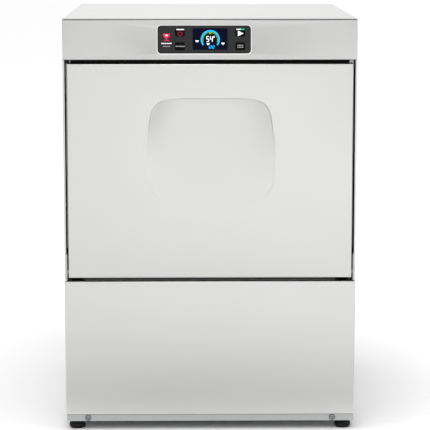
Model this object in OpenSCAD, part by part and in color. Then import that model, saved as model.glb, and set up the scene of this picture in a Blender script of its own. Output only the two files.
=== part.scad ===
// Front-loading glass washer for under a bar counter, as an assembly of its real pieces.
// X runs from left to right, the front faces -Y and Z is up. The origin is on the floor,
// under the middle of the cabinet. All sizes are in millimetres.

/* [Cabinet] */
// Width over the side panels
cab_w = 470; // [470:2:480]
// Depth from the door's face to the rear panel
cab_d = 535; // [535:5:560]
// Height from the floor to the top cover
cab_h = 670; // [665:1:680]
// Thickness of the outer steel sheets
skin = 1.2; // [1:0.1:1.2]
// Height of the rubber feet, screwed right in
foot_h = 14; // [13.5:0.5:15]

/* [Front] */
// Height of the strip of the base below the lower panel
base_flange_h = 10.6; // [10.6:0.1:11]
// Top edge of the lower front panel, above the floor
lower_panel_top = 245.5; // [240:0.5:245.5]
// Bottom edge of the door
door_bottom = 251.5; // [251.5:0.5:252]
// Top edge of the door
door_top = 597.5; // [590:0.5:597.5]
// Bottom edge of the control fascia
fascia_bottom = 604; // [604:0.5:606]
// Gap between the door and the jamb on each side
door_side_gap = 2.4; // [2:0.1:3]
// Thickness of the door, without the bulge of its inner skin
door_t = 25; // [25:1:25]

/* [Handle recess] */
// Half of the recess's width at its top lip
recess_top_half = 95; // [80:1:96]
// Half of its width near its foot
recess_foot_half = 103; // [90:1:104]
// Height of the recess's foot above the floor
recess_foot_z = 372; // [360:1:390]
// Height of its top lip
recess_lip_z = 541; // [530:1:545]
// Depth behind the door's face
recess_depth = 15; // [8:1:16]

/* [Controls] */
// Width of the glossy control overlay
overlay_w = 148; // [146:1:150]
// Height of the overlay
overlay_h = 44; // [43:0.5:45]
// Sideways place of the overlay's centre
overlay_x = -9.3; // [-10:0.1:-8]
// Height of the overlay's centre
overlay_z = 636.3; // [635:0.1:637]
// Size of one key
key_size = [15.4, 12.8]; // [10:0.1:20]
// Sideways place of both key columns
key_x = 48; // [46:0.5:50]

/* [Spray arms] */
// Radius that the wash arms sweep
wash_arm_r = 185; // [150:1:190]
// Radius that the rinse arms sweep
rinse_arm_r = 172; // [140:1:180]
// Radius of the fixed spindle that the arms turn on
spindle_r = 12; // [12:0.5:12]

/* [Basket] */
// Height of the glass basket's walls
basket_h = 110; // [80:5:150]
// Number of openings along each side of the basket floor
basket_cells = 7; // [6:1:8]

/* [Connections] */
// Radius of the thread of the water inlet, for a 3/4 inch hose nut
inlet_thread_r = 13.2; // [13:0.1:13.4]
// Radius of the spigot for the drain hose
drain_spigot_r = 12; // [10:0.5:12.5]
// Radius of the hole through the cable gland
gland_bore_r = 5; // [4:0.5:6]

/* [Hidden] */
$fn = 48;

// Finishes
steel = "#cfd2d3";
satin_steel = "#b9bdbf";
zinc = "#a9adaf";
rubber_black = "#1d1d1f";
plastic_black = "#26272b";
plastic_grey = "#70757a";
basket_blue = "#3a62a8";
copper_red = "#a6603a";
board_green = "#2f6b3f";

// Cabinet planes
half_w = cab_w / 2;
front_y = -cab_d / 2;
rear_y = cab_d / 2;
skin_x = half_w - skin;          // inner face of a side panel
side_front_y = front_y + 20.5;   // where the side panels start behind the fascia and lower panel
return_y = front_y + 20;         // how far the folded returns of the front sheets reach
top_t = 1.5;                     // top cover's sheet
tray_t = 1.5;                    // base tray's sheet
tray_top = foot_h + tray_t;
base_flange_top = foot_h + base_flange_h;
lower_panel_bottom = base_flange_top + 0.2;
fascia_top = cab_h - top_t - 0.8;
skirt_bottom = cab_h - 20;       // lower edge of the top cover's skirts
plate_y = rear_y - 36.5;         // inner face of the recessed connection plate
recess_roof_z = 138.5;           // underside of the roof of the rear recess

// Feet
foot_x = half_w - 17.6;
foot_y = rear_y - 20;
foot_stud_r = 4;
strip_screw_x = half_w - 36;
strip_screw_z = foot_h + base_flange_h / 2;
strip_hole_r = 3.2;
run_gap = 0.05;                  // radial clearance of a running fit

// Door and hinge
door_half = half_w - 3 - door_side_gap;
door_back_y = front_y + door_t;
pivot_y = front_y + 10;
pivot_z = door_bottom + 8.5;
pin_r = 4;
arm_t = 3;
arm_x = door_half - skin - arm_t;         // inner face of a hinge arm
arm_half = 5.5;                           // half of the arm's width
elbow_y = pivot_y + 28;
tail_z = pivot_z - 55;
post_x = half_w - 4.4;
post_t = 3;
arm_leg_y = front_y + 15.5;
arm_leg_top = pivot_z + 85;
arm_screw_z = [pivot_z + 40, pivot_z + 72];
notch_top = pivot_z + 36;                 // the inner skin and chamber flange start above this

// Springs
spring_x = arm_x + arm_t / 2;
coil_x = post_x - 7.4;
spring_low = 75;
spring_high = 185;

// Wash chamber and tank
chamber_half = half_w - 25;
chamber_t = 1;
chamber_front_y = front_y + 31;
chamber_rear_y = rear_y - 75;
chamber_bottom = 262;
chamber_top = 597;
tank_half = chamber_half - 6;
tank_front_y = chamber_front_y + 5.5;
tank_rear_y = chamber_rear_y - 5.5;
tank_floor = 214;
arm_y = (chamber_front_y + chamber_rear_y) / 2;   // the arms turn on this line
well_x = -95;
well_y = arm_y - 97;
well_r = 55;
well_floor = 180;
filter_z = 256;

// Stack of arms: the lower one is built up from here and the upper one hangs as its mirror
stack_low = chamber_bottom;
stack_high = chamber_top - 8;
hub_r = 22;
post_r = 20;

// Basket
basket_half = chamber_half - 11;
basket_front = chamber_front_y + 15;
basket_rear = chamber_rear_y - 15.5;
basket_floor = 296;
basket_wall = 3;

// Pump line
pump_x = -95;
pump_z = 95;
housing_r = 60;
housing_front = arm_y - 24.5;
housing_rear = arm_y + 24.5;
motor_r = 50;
suction_bend = 55;
suction_r = 17;
discharge_z = pump_z + housing_r - 16;
pipe_r = 12;
pipe_bore = 10.5;
pipe_bend = 24;
riser_y = chamber_rear_y + 23;
header_z = chamber_top + 37;

// Boiler line
boiler_x = 130;
boiler_z = 90;
boiler_r = 60;
boiler_front = arm_y - 87;
boiler_rear = arm_y + 172;
rinse_r = 4;
rinse_bend = 14;

// Outlets on the connection plate
inlet_x = 150;
inlet_z = 80;
drain_x = -150;
drain_z = 60;
gland_z = 85;
gland_thread_r = 8.3;

// Control pieces
overlay_t = 4;
overlay_front = front_y + 0.3;
window_half = 27.8;
window_low = 620;
window_high = 654.4;
key_z_high = 647.6;
key_z_low = 625.6;
key_round = 2;
key_gap = 0.3;
board_y = front_y + 10;

// ---------------------------------------------------------------- shared shapes

// Box between two corners
module block(low, high) {
    translate(low) cube(high - low);
}

// A shape and its mirror image on the other side of the cabinet
module both_sides() {
    children();
    mirror([1, 0, 0]) children();
}

// The left-hand piece of a pair drawn for the right
module left_hand() {
    mirror([1, 0, 0]) children();
}

// Outline given in Y and Z, drawn out along +X
module side_profile(x, t) {
    translate([x, 0, 0]) rotate([90, 0, 90]) linear_extrude(t) children();
}

// Outline given in X and Z, drawn out from y towards +Y
module front_profile(y, t) {
    translate([0, y + t, 0]) rotate([90, 0, 0]) linear_extrude(t) children();
}

// Cylinder along +Y
module rod_y(x, y, z, r, length) {
    translate([x, y, z]) rotate([-90, 0, 0]) cylinder(r = r, h = length);
}

// Cylinder along +X
module rod_x(x, y, z, r, length) {
    translate([x, y, z]) rotate([0, 90, 0]) cylinder(r = r, h = length);
}

// Cylinder along +Z
module rod_z(x, y, z, r, length) {
    translate([x, y, z]) cylinder(r = r, h = length);
}

// Rectangle with rounded corners about the origin
module round_rect(w, h, r) {
    square([w - 2 * r, h], center = true);
    square([w, h - 2 * r], center = true);
    for (sx = [-1, 1], sz = [-1, 1])
        translate([sx * (w / 2 - r), sz * (h / 2 - r)]) circle(r = r);
}

// Flat bar with round ends between two points
module bar(a, b, half) {
    d = b - a;
    for (p = [a, b]) translate(p) circle(r = half);
    translate(a) rotate(atan2(d.y, d.x)) translate([0, -half]) square([norm(d), 2 * half]);
}

function unit(v) = v / norm(v);
function place(origin, u, v, w) = [
    [u.x, v.x, w.x, origin.x],
    [u.y, v.y, w.y, origin.y],
    [u.z, v.z, w.z, origin.z],
    [0, 0, 0, 1]
];

// Round pipe through a list of points, with a quarter bend at each corner
module pipe_run(points, r, bend) {
    last = len(points) - 1;
    for (i = [0 : last - 1]) {
        a = unit(points[i + 1] - points[i]);
        start = points[i] + (i > 0 ? bend : 0) * a;
        end = points[i + 1] - (i < last - 1 ? bend : 0) * a;
        u = [a.z, a.x, a.y];
        if (norm(end - start) > 0.01)
            multmatrix(place(start, u, cross(a, u), a)) cylinder(r = r, h = norm(end - start));
        if (i < last - 1) {
            b = unit(points[i + 2] - points[i + 1]);
            multmatrix(place(points[i + 1] + bend * (b - a), -b, a, cross(a, b)))
                rotate_extrude(angle = 90) translate([bend, 0]) circle(r = r);
        }
    }
}

// ---------------------------------------------------------------- casing

// Folded tray that everything stands on, with the plate for the hose and cable connections
module base_tray() {
    side_flange_h = 22.5;
    boss_r = 8;
    boss_h = 14.5;
    color(zinc) difference() {
        union() {
            block([-skin_x + 0.8, front_y + 3, foot_h], [skin_x - 0.8, rear_y - 1.5, tray_top]);
            block([-skin_x + 0.5, front_y + 3, foot_h],
                  [skin_x - 0.5, front_y + 3 + tray_t, base_flange_top]);
            both_sides()
                block([skin_x - 1.8, side_front_y, tray_top],
                      [skin_x - 0.3, plate_y, tray_top + side_flange_h]);
            block([-skin_x + 2.3, plate_y, tray_top],
                  [skin_x - 2.3, plate_y + tray_t, recess_roof_z + tray_t]);
            block([-skin_x + 2.3, plate_y, recess_roof_z],
                  [skin_x - 2.3, rear_y - 2.6, recess_roof_z + tray_t]);
            for (sx = [-1, 1], sy = [-1, 1])
                rod_z(sx * foot_x, sy * foot_y, tray_top, boss_r, boss_h);
        }
        for (sx = [-1, 1], sy = [-1, 1])
            rod_z(sx * foot_x, sy * foot_y, 0, foot_stud_r + run_gap, 60);
        for (sx = [-1, 1])
            rod_y(sx * strip_screw_x, front_y, strip_screw_z, strip_hole_r, 10);
        rod_y(inlet_x, plate_y - 1, inlet_z, inlet_thread_r + 0.3, 4);
        rod_y(drain_x, plate_y - 1, drain_z, drain_spigot_r + 1, 4);
        rod_y(0, plate_y - 1, gland_z, gland_thread_r + 0.2, 4);
    }
}

// Side sheet, with the narrow jamb fold beside the door and a flange at the rear
module side_panel() {
    jamb = 3;
    flange_w = 18.8;
    color(steel) difference() {
        union() {
            side_profile(skin_x, skin) polygon([
                [side_front_y, foot_h], [rear_y - skin, foot_h],
                [rear_y - skin, skirt_bottom - 1], [side_front_y, skirt_bottom - 1],
                [side_front_y, fascia_bottom - 0.5], [front_y, fascia_bottom - 0.5],
                [front_y, lower_panel_top + 0.5], [side_front_y, lower_panel_top + 0.5]
            ]);
            block([half_w - jamb, front_y, lower_panel_top + 0.5],
                  [half_w, front_y + skin, fascia_bottom - 0.5]);
            block([half_w - jamb, front_y, notch_top + 2],
                  [half_w - jamb + 1, door_back_y, fascia_bottom - 0.5]);
            block([skin_x - flange_w, rear_y - 2 * skin, recess_roof_z + 2.5],
                  [skin_x, rear_y - skin, skirt_bottom - 2]);
        }
        for (z = rear_screw_z) rod_y(rear_screw_x, rear_y - 5, z, 1.7, 6);
    }
}

module side_panel_left() { left_hand() side_panel(); }
module side_panel_right() { side_panel(); }

rear_screw_x = half_w - 12;
rear_screw_z = [160, 320, 480, 630];

// Rear sheet with louvres that let the steam and the pump's heat out
module rear_panel() {
    louvre_w = 60;
    louvre_count = 6;
    color(steel) difference() {
        block([-half_w, rear_y - skin, recess_roof_z],
              [half_w, rear_y, skirt_bottom - 0.5]);
        for (sx = [-1, 1], z = rear_screw_z)
            rod_y(sx * rear_screw_x, rear_y - 3, z, 2.1, 6);
        for (sx = [-1, 1], i = [0 : louvre_count - 1])
            front_profile(rear_y - 3, 6)
                translate([sx * 110, 190 + 14 * i]) round_rect(louvre_w, 4, 1.9);
    }
}

module rear_panel_screws() {
    head_r = 4;
    color(satin_steel)
        for (sx = [-1, 1], z = rear_screw_z) {
            rod_y(sx * rear_screw_x, rear_y - skin - 5, z, 1.65, 5);
            rod_y(sx * rear_screw_x, rear_y - skin, z, 2.05, skin);
        }
}

// Lid: a flat sheet with skirts down both sides and the rear
module top_cover() {
    plate_low = cab_h - top_t;
    color(steel) union() {
        block([-half_w, front_y, plate_low], [half_w, rear_y, cab_h]);
        both_sides()
            block([skin_x, return_y + 0.7, skirt_bottom], [half_w, rear_y, plate_low]);
        block([-half_w, rear_y - skin, skirt_bottom], [half_w, rear_y, plate_low]);
    }
}

// Folded strip above the door that carries the controls
module control_fascia() {
    color(steel) difference() {
        union() {
            block([-half_w, front_y, fascia_bottom], [half_w, front_y + skin, fascia_top]);
            both_sides()
                block([skin_x, front_y, fascia_bottom], [half_w, return_y, fascia_top]);
            block([-half_w, front_y, fascia_top - skin], [half_w, return_y, fascia_top]);
            block([-half_w, front_y, fascia_bottom],
                  [half_w, return_y, fascia_bottom + skin]);
        }
        front_profile(front_y - 1, 4)
            translate([overlay_x, overlay_z]) round_rect(overlay_w + 0.4, overlay_h + 0.4, 5);
    }
}

// Plain sheet in front of the pumps, fixed by two screws through its bottom tabs
module lower_front_panel() {
    tab_half = 14;
    tab_y = front_y + 4.6;
    color(steel) difference() {
        union() {
            block([-half_w, front_y, lower_panel_bottom],
                  [half_w, front_y + skin, lower_panel_top]);
            both_sides()
                block([skin_x, front_y, lower_panel_bottom],
                      [half_w, return_y, lower_panel_top]);
            block([-door_half, front_y, lower_panel_top - skin],
                  [door_half, return_y, lower_panel_top]);
            block([-half_w, front_y, lower_panel_bottom],
                  [half_w, tab_y + skin, lower_panel_bottom + skin]);
            for (sx = [-1, 1])
                block([sx * strip_screw_x - tab_half, tab_y, tray_top + 0.5],
                      [sx * strip_screw_x + tab_half, tab_y + skin, lower_panel_bottom]);
        }
        for (sx = [-1, 1]) rod_y(sx * strip_screw_x, tab_y - 1, strip_screw_z, strip_hole_r, 4);
    }
}

// The two screws on the base strip, which pull the lower panel down
module lower_panel_screws() {
    head_r = 5.3;
    shank_r = 2.95;
    color(satin_steel)
        for (sx = [-1, 1]) {
            rod_y(sx * strip_screw_x, front_y + 0.3, strip_screw_z, head_r, 2.7);
            rod_y(sx * strip_screw_x, front_y + 3, strip_screw_z, shank_r, 12);
        }
}

// Rubber foot moulded on a threaded stud
module foot(sx, sy) {
    translate([sx * foot_x, sy * foot_y, 0]) {
        color(rubber_black) rotate_extrude()
            polygon([[0, 0], [11, 0], [13, 3], [13, 8], [10, foot_h - 0.5], [0, foot_h - 0.5]]);
        color(zinc) translate([0, 0, foot_h - 0.5]) cylinder(r = foot_stud_r, h = 34);
    }
}

module foot_front_left() { foot(-1, -1); }
module foot_front_right() { foot(1, -1); }
module foot_rear_left() { foot(-1, 1); }
module foot_rear_right() { foot(1, 1); }

// ---------------------------------------------------------------- door

// Outline of the handle recess, wider at its foot than at its lip
module recess_outline() {
    lip_round = 30;
    foot_round = 60;
    hull() for (sx = [-1, 1]) {
        translate([sx * (recess_top_half - lip_round), recess_lip_z - lip_round])
            circle(r = lip_round, $fn = 32);
        translate([sx * (recess_foot_half - foot_round), recess_foot_z + foot_round])
            circle(r = foot_round, $fn = 32);
    }
}

// Side view of the space inside the recess, deepest under the lip
module recess_side(extra) {
    floor_y = front_y + recess_depth + extra;
    polygon([
        [front_y + extra, recess_foot_z - extra], [floor_y, recess_lip_z - 60],
        [floor_y, recess_lip_z + extra], [front_y - 1, recess_lip_z + extra],
        [front_y - 1, recess_foot_z - extra]
    ]);
}

// Folded outer sheet of the door, with the pressed handle recess
module door_outer_skin() {
    pan_back = door_back_y - skin;
    scoop_half = recess_foot_half + 1;
    color(steel) difference() {
        union() {
            difference() {
                block([-door_half, front_y, door_bottom], [door_half, pan_back, door_top]);
                block([-door_half + skin, front_y + skin, door_bottom + skin],
                      [door_half - skin, pan_back + 1, door_top - skin]);
                front_profile(front_y - 1, 4) recess_outline();
            }
            difference() {
                side_profile(-scoop_half - skin, 2 * (scoop_half + skin))
                    intersection() {
                        recess_side(skin);
                        translate([front_y + skin, 0]) square([door_t, cab_h]);
                    }
                side_profile(-scoop_half, 2 * scoop_half) recess_side(0);
            }
        }
        rod_x(-half_w, pivot_y, pivot_z, pin_r + 0.3, cab_w);
        for (z = arm_screw_z) rod_x(-half_w, arm_leg_y, z, 1.6, cab_w);
    }
}

// Inner sheet of the door, with a shallow bulge that keeps the water inside
module door_inner_skin() {
    bulge_half = chamber_half - 12;
    bulge_low = 280;
    bulge_high = 576;
    bulge_d = 10;
    color(steel) difference() {
        union() {
            block([-door_half, door_back_y - skin, door_bottom],
                  [door_half, door_back_y, door_top]);
            block([-bulge_half, door_back_y - skin, bulge_low],
                  [bulge_half, door_back_y + bulge_d, bulge_high]);
        }
        block([-bulge_half + skin, door_back_y - skin - 1, bulge_low + skin],
              [bulge_half - skin, door_back_y + bulge_d - skin, bulge_high - skin]);
        both_sides()
            block([chamber_half + 11, door_back_y - 5, door_bottom - 1],
                  [half_w, door_back_y + 5, notch_top - 4]);
    }
}

// Cranked arm inside each door edge: it turns on the pin and its tail pulls the spring
module hinge_arm() {
    color(satin_steel) difference() {
        side_profile(arm_x, arm_t) {
            bar([pivot_y, pivot_z], [elbow_y, pivot_z], arm_half);
            bar([elbow_y, pivot_z], [elbow_y, tail_z], arm_half);
            bar([arm_leg_y, pivot_z + 2], [arm_leg_y, arm_leg_top], arm_half + 1);
        }
        rod_x(arm_x - 1, pivot_y, pivot_z, pin_r + 0.02, arm_t + 2);
        for (z = arm_screw_z) rod_x(arm_x - 1, arm_leg_y, z, 1.6, arm_t + 2);
    }
}

module hinge_arm_left() { left_hand() hinge_arm(); }
module hinge_arm_right() { hinge_arm(); }

// Headed pins that turn in the hinge posts
module hinge_pins() {
    head_r = 6.5;
    head_t = 2;
    color(satin_steel) both_sides() {
        rod_x(arm_x, pivot_y, pivot_z, pin_r, half_w - 1.5 - arm_x);
        rod_x(arm_x - head_t, pivot_y, pivot_z, head_r, head_t);
    }
}

// Screws that hold the arms to the edges of the door's outer skin
module hinge_arm_screws() {
    color(satin_steel) both_sides() for (z = arm_screw_z) {
        rod_x(arm_x - 2, arm_leg_y, z, 1.55, arm_t + skin + 2);
        rod_x(arm_x - 2, arm_leg_y, z, 3, 2);
    }
}

// Steel cheek beside the door that the hinge pin turns in
module hinge_post() {
    post_top = pivot_z + 30;
    step_z = lower_panel_top + 1.5;
    color(zinc) difference() {
        side_profile(post_x, post_t) polygon([
            [side_front_y + 2, tray_top + 22.5], [elbow_y + 17.5, tray_top + 22.5],
            [elbow_y + 17.5, post_top], [front_y + 1.7, post_top],
            [front_y + 1.7, step_z], [side_front_y + 2, step_z]
        ]);
        rod_x(post_x - 1, pivot_y, pivot_z, pin_r + run_gap, post_t + 2);
    }
}

module hinge_post_left() { left_hand() hinge_post(); }
module hinge_post_right() { hinge_post(); }

// Tension spring that balances the door, hooked on the arm's tail and on its anchor
module door_spring() {
    coil_r = 7;
    wire_r = 1;
    color(satin_steel) {
        rod_z(coil_x, elbow_y, spring_low, coil_r, spring_high - spring_low);
        rod_z(spring_x, elbow_y, spring_high, wire_r, tail_z - arm_half - 0.1 - spring_high);
        rod_z(spring_x, elbow_y, spring_low - 13, wire_r, 13);
    }
}

module door_spring_left() { left_hand() door_spring(); }
module door_spring_right() { door_spring(); }

// Threaded hook on the tray for the foot of each spring
module spring_anchors() {
    color(zinc) both_sides() {
        rod_z(spring_x, elbow_y, tray_top, 2.5, spring_low - 13.1 - tray_top);
        rod_z(spring_x, elbow_y, tray_top, 4.8, 5);
    }
}

// Rubber lip round the mouth of the wash chamber, with a taller lip that fills the gap above
// the door
module door_seal() {
    inner = chamber_half + 2.5;
    width = 8;
    seal_front = door_back_y + 0.4;
    top_half = door_half - 5.7;
    color(rubber_black) difference() {
        union() {
            block([-inner - width, seal_front, notch_top - 26],
                  [inner + width, chamber_front_y - chamber_t, chamber_top - 1]);
            block([-top_half, seal_front, chamber_top - 9],
                  [top_half, chamber_front_y - chamber_t, fascia_bottom - 1]);
        }
        block([-inner, seal_front - 1, notch_top - 30],
              [inner, chamber_front_y, chamber_top - 9]);
    }
}

// Spring-loaded balls' carriers above the door, which hold it shut
module door_catches() {
    catch_z = (door_top + fascia_bottom) / 2 - 0.1;
    color(satin_steel) both_sides()
        rod_y(door_half - 3, front_y + 17.5, catch_z, 2,
              chamber_front_y - chamber_t - front_y - 17.5);
}

// ---------------------------------------------------------------- wash chamber

// Deep-drawn tub, open at the front and bottom, with a flange round its mouth
module wash_chamber() {
    inner = [chamber_half, chamber_rear_y, chamber_top];
    outer = [chamber_half + chamber_t, chamber_rear_y + chamber_t, chamber_top + chamber_t];
    flange_y = chamber_front_y - chamber_t;
    wide = half_w - 3;
    color(steel) difference() {
        union() {
            block([-outer.x, chamber_front_y - chamber_t, chamber_bottom],
                  [outer.x, outer.y, outer.z]);
            block([-chamber_half - 11, flange_y, chamber_bottom],
                  [chamber_half + 11, chamber_front_y, notch_top + 1]);
            block([-wide, flange_y, notch_top], [wide, chamber_front_y, fascia_bottom - 1]);
        }
        block([-inner.x, flange_y - 1, chamber_bottom - 1], inner);
        rod_z(0, arm_y, chamber_top - 1, 16.2, 4);
    }
}

// Tank under the chamber that holds the wash water, with a round well for the strainer
module sump_tank() {
    rim_t = 1.5;
    rim_half = chamber_half + 3;
    color(satin_steel) difference() {
        union() {
            block([-rim_half, chamber_front_y, chamber_bottom - rim_t],
                  [rim_half, chamber_rear_y + 3.5, chamber_bottom]);
            block([-tank_half - 1, tank_front_y - 1, tank_floor],
                  [tank_half + 1, tank_rear_y + 1, chamber_bottom - 0.5]);
            rod_z(well_x, well_y, well_floor - 1, well_r + 1, tank_floor - well_floor + 2);
            rod_z(well_x, well_y, well_floor - 30, suction_r, 30);
        }
        block([-tank_half, tank_front_y, tank_floor + 1],
              [tank_half, tank_rear_y, chamber_bottom + 1]);
        rod_z(well_x, well_y, well_floor, well_r, tank_floor - well_floor + 2);
        rod_z(well_x, well_y, well_floor - 31, suction_r - 1.5, 33);
        rod_z(0, arm_y, tank_floor - 1, post_r + 0.1, 4);
        rod_z(drain_x, tank_rear_y - 12, tank_floor - 1, 8.5, 4);
    }
}

// Folded rail that the basket slides on
module basket_rail() {
    front = chamber_front_y + 11.5;
    rear = chamber_rear_y - 7.5;
    color(satin_steel) {
        block([chamber_half - 18, front, basket_floor - 1.5],
              [chamber_half, rear, basket_floor]);
        block([chamber_half - 1.2, front, basket_floor - 12],
              [chamber_half, rear, basket_floor]);
    }
}

module basket_rail_left() { left_hand() basket_rail(); }
module basket_rail_right() { basket_rail(); }

// Two perforated plates that lie over the tank and keep broken glass out
module filter_plates() {
    sheet = 1.2;
    hole_r = 4;
    pitch = 40;
    color(satin_steel) difference() {
        union() {
            block([-tank_half + 0.5, tank_front_y + 0.5, filter_z],
                  [-0.5, tank_rear_y - 0.5, filter_z + sheet]);
            block([0.5, tank_front_y + 0.5, filter_z],
                  [tank_half - 0.5, tank_rear_y - 0.5, filter_z + sheet]);
        }
        rod_z(0, arm_y, filter_z - 1, post_r + 2, 4);
        rod_z(well_x, well_y, filter_z - 1, well_r - 13.5, 4);
        for (x = [60 : pitch : 180], y = [-180 : pitch : 140])
            rod_z(x, y + arm_y + 22.5, filter_z - 1, hole_r, 4);
    }
}

// Basket strainer that lifts out of the well
module sump_strainer() {
    cup_r = well_r - 14;
    color(plastic_grey) difference() {
        union() {
            rod_z(well_x, well_y, well_floor + 4, cup_r, filter_z + 1.3 - well_floor - 4);
            rod_z(well_x, well_y, filter_z + 1.3, cup_r + 5, 2);
        }
        rod_z(well_x, well_y, well_floor + 6, cup_r - 1.5, filter_z - well_floor + 10);
        for (a = [15 : 45 : 330], z = [205, 228])
            translate([well_x, well_y, z]) rotate([0, 90, a]) cylinder(r = 6, h = cup_r + 2);
    }
}

// Tubular heating element in the tank, bent to a loop and fixed to the tank's right wall
module tank_heater() {
    element_r = 4;
    loop_z = 232;
    left = 40;
    near = arm_y + 60;
    far = arm_y + 130;
    color(satin_steel) {
        pipe_run([[tank_half - 0.1, near, loop_z], [left, near, loop_z], [left, far, loop_z],
                  [tank_half - 0.1, far, loop_z]], element_r, 20);
        block([tank_half - 3, near - 12, loop_z - 12], [tank_half, far + 12, loop_z + 12]);
    }
}

// ---------------------------------------------------------------- spray arms

// The stack is drawn standing on z = 0: flange, spindle and threaded end
wash_hub = [2, 15];
rinse_hub = [17, 25];
thread_end = 30;

module spindle() {
    rod_z(0, arm_y, 0, spindle_r, rinse_hub[1] + 1);
    rod_z(0, arm_y, rinse_hub[1] + 1, 8, thread_end - rinse_hub[1] - 1);
}

// Two-bladed arm: a hub on the spindle, flat hollow blades and a row of jets
module spray_arm(hub, reach, blade_w, blade_t, hub_radius, jets) {
    mid = (hub[0] + hub[1]) / 2;
    round_r = blade_w / 2;
    jet_r = 2;
    jet_step = (reach - 50) / jets;
    color(satin_steel) difference() {
        union() {
            rod_z(0, arm_y, hub[0], hub_radius, hub[1] - hub[0]);
            translate([0, arm_y, mid - blade_t / 2]) linear_extrude(blade_t)
                bar([-reach + round_r, 0], [reach - round_r, 0], round_r);
        }
        rod_z(0, arm_y, hub[0] - 1, spindle_r + run_gap, hub[1] - hub[0] + 2);
        for (sx = [-1, 1], i = [0 : jets - 1])
            rod_z(sx * (38 + jet_step * i), arm_y, mid, jet_r, blade_t);
    }
}

module wash_arm() { spray_arm(wash_hub, wash_arm_r, 28, 9, hub_r, 6); }
module rinse_arm() { spray_arm(rinse_hub, rinse_arm_r, 16, 6, hub_r - 3, 5); }

// Knurled cap nut that keeps both arms on their spindle
module arm_nut() {
    difference() {
        rod_z(0, arm_y, rinse_hub[1] + 1.2, spindle_r + 4, 5.5);
        rod_z(0, arm_y, rinse_hub[1] + 1, 8.02, 4.2);
    }
}

module stand_low() { translate([0, 0, stack_low]) children(); }
module hang_high() { translate([0, 0, stack_high]) mirror([0, 0, 1]) children(); }

module lower_arm_post() {
    color(satin_steel) {
        rod_z(0, arm_y, tank_floor - 15, post_r, stack_low - tank_floor + 15);
        stand_low() spindle();
    }
}

module upper_arm_post() {
    color(satin_steel) {
        rod_z(0, arm_y, stack_high, post_r + 4, chamber_top - stack_high);
        rod_z(0, arm_y, chamber_top, 16, 13);
        hang_high() spindle();
    }
}

module lower_wash_arm() { stand_low() wash_arm(); }
module lower_rinse_arm() { stand_low() rinse_arm(); }
module upper_wash_arm() { hang_high() wash_arm(); }
module upper_rinse_arm() { hang_high() rinse_arm(); }

module arm_nuts() {
    color(plastic_grey) {
        stand_low() arm_nut();
        hang_high() arm_nut();
    }
}

// ---------------------------------------------------------------- basket

// Open plastic crate for glasses
module glass_basket() {
    lip = 4;
    rib = 6;
    left = -basket_half + lip;
    near = basket_front + lip;
    far = basket_rear - lip;
    cell_w = -2 * left / basket_cells;
    cell_d = (far - near) / basket_cells;
    top_z = basket_floor + basket_h;
    window_z = [basket_floor + 14, top_z - 24];
    color(basket_blue) difference() {
        union() {
            block([left, near, basket_floor], [-left, far, top_z]);
            block([-basket_half, basket_front, top_z - 12], [basket_half, basket_rear, top_z]);
        }
        block([left + basket_wall, near + basket_wall, basket_floor + basket_wall],
              [-left - basket_wall, far - basket_wall, top_z + 1]);
        for (i = [0 : basket_cells - 1], j = [0 : basket_cells - 1])
            block([left + cell_w * i + rib, near + cell_d * j + rib, basket_floor - 1],
                  [left + cell_w * (i + 1) - rib, near + cell_d * (j + 1) - rib,
                   basket_floor + basket_wall + 1]);
        for (i = [0 : basket_cells - 1]) {
            block([left + cell_w * i + rib, basket_front - 1, window_z[0]],
                  [left + cell_w * (i + 1) - rib, basket_rear + 1, window_z[1]]);
            block([-basket_half - 1, near + cell_d * i + rib, window_z[0]],
                  [basket_half + 1, near + cell_d * (i + 1) - rib, window_z[1]]);
        }
    }
}

// ---------------------------------------------------------------- works under the tank

module wash_pump_motor() {
    shaft_gap = 0.5;
    motor_front = housing_rear + 2;
    motor_len = 146;
    color(plastic_grey) difference() {
        union() {
            rod_y(pump_x, motor_front, pump_z, motor_r, motor_len);
            block([pump_x - 30, motor_front + 20, pump_z + motor_r - 8],
                  [pump_x + 30, motor_front + 100, pump_z + motor_r + 22]);
            for (s = [-1, 1])
                block([pump_x + s * 27 - 9, motor_front + 15, tray_top],
                      [pump_x + s * 27 + 9, motor_front + 130, pump_z - 30]);
        }
        rod_y(pump_x, motor_front - 1, pump_z, 6 + shaft_gap, 40);
    }
}

// Volute with its tangential outlet at the top, facing right
module wash_pump_housing() {
    wall = 3;
    color(plastic_black) difference() {
        union() {
            rod_y(pump_x, housing_front, pump_z, housing_r, housing_rear - housing_front);
            rod_x(pump_x, arm_y, discharge_z, 16, 67);
            rod_y(pump_x, housing_front - 16, pump_z, 20, 17);
        }
        rod_y(pump_x, housing_front + wall, pump_z, housing_r - wall,
              housing_rear - housing_front - 2 * wall);
        rod_x(pump_x, arm_y, discharge_z, pipe_bore, 68);
        rod_y(pump_x, housing_front - 17, pump_z, suction_r + 0.2, 22);
        rod_y(pump_x, housing_rear - 10, pump_z, 6 + run_gap, 12);
    }
}

// Impeller with its shaft, which reaches back into the motor
module pump_impeller() {
    disc_r = 42;
    vane_h = 18;
    disc_y = housing_rear - 12;
    color(satin_steel) {
        rod_y(pump_x, disc_y + 3, pump_z, 6, 37);
        rod_y(pump_x, disc_y, pump_z, disc_r, 4);
        rod_y(pump_x, disc_y - vane_h, pump_z, 9, vane_h + 2);
        for (a = [20 : 72 : 308])
            translate([pump_x, disc_y - vane_h + 1, pump_z]) rotate([0, a, 0])
                translate([6, 0, -1.2]) cube([disc_r - 10, vane_h, 2.4]);
    }
}

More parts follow.
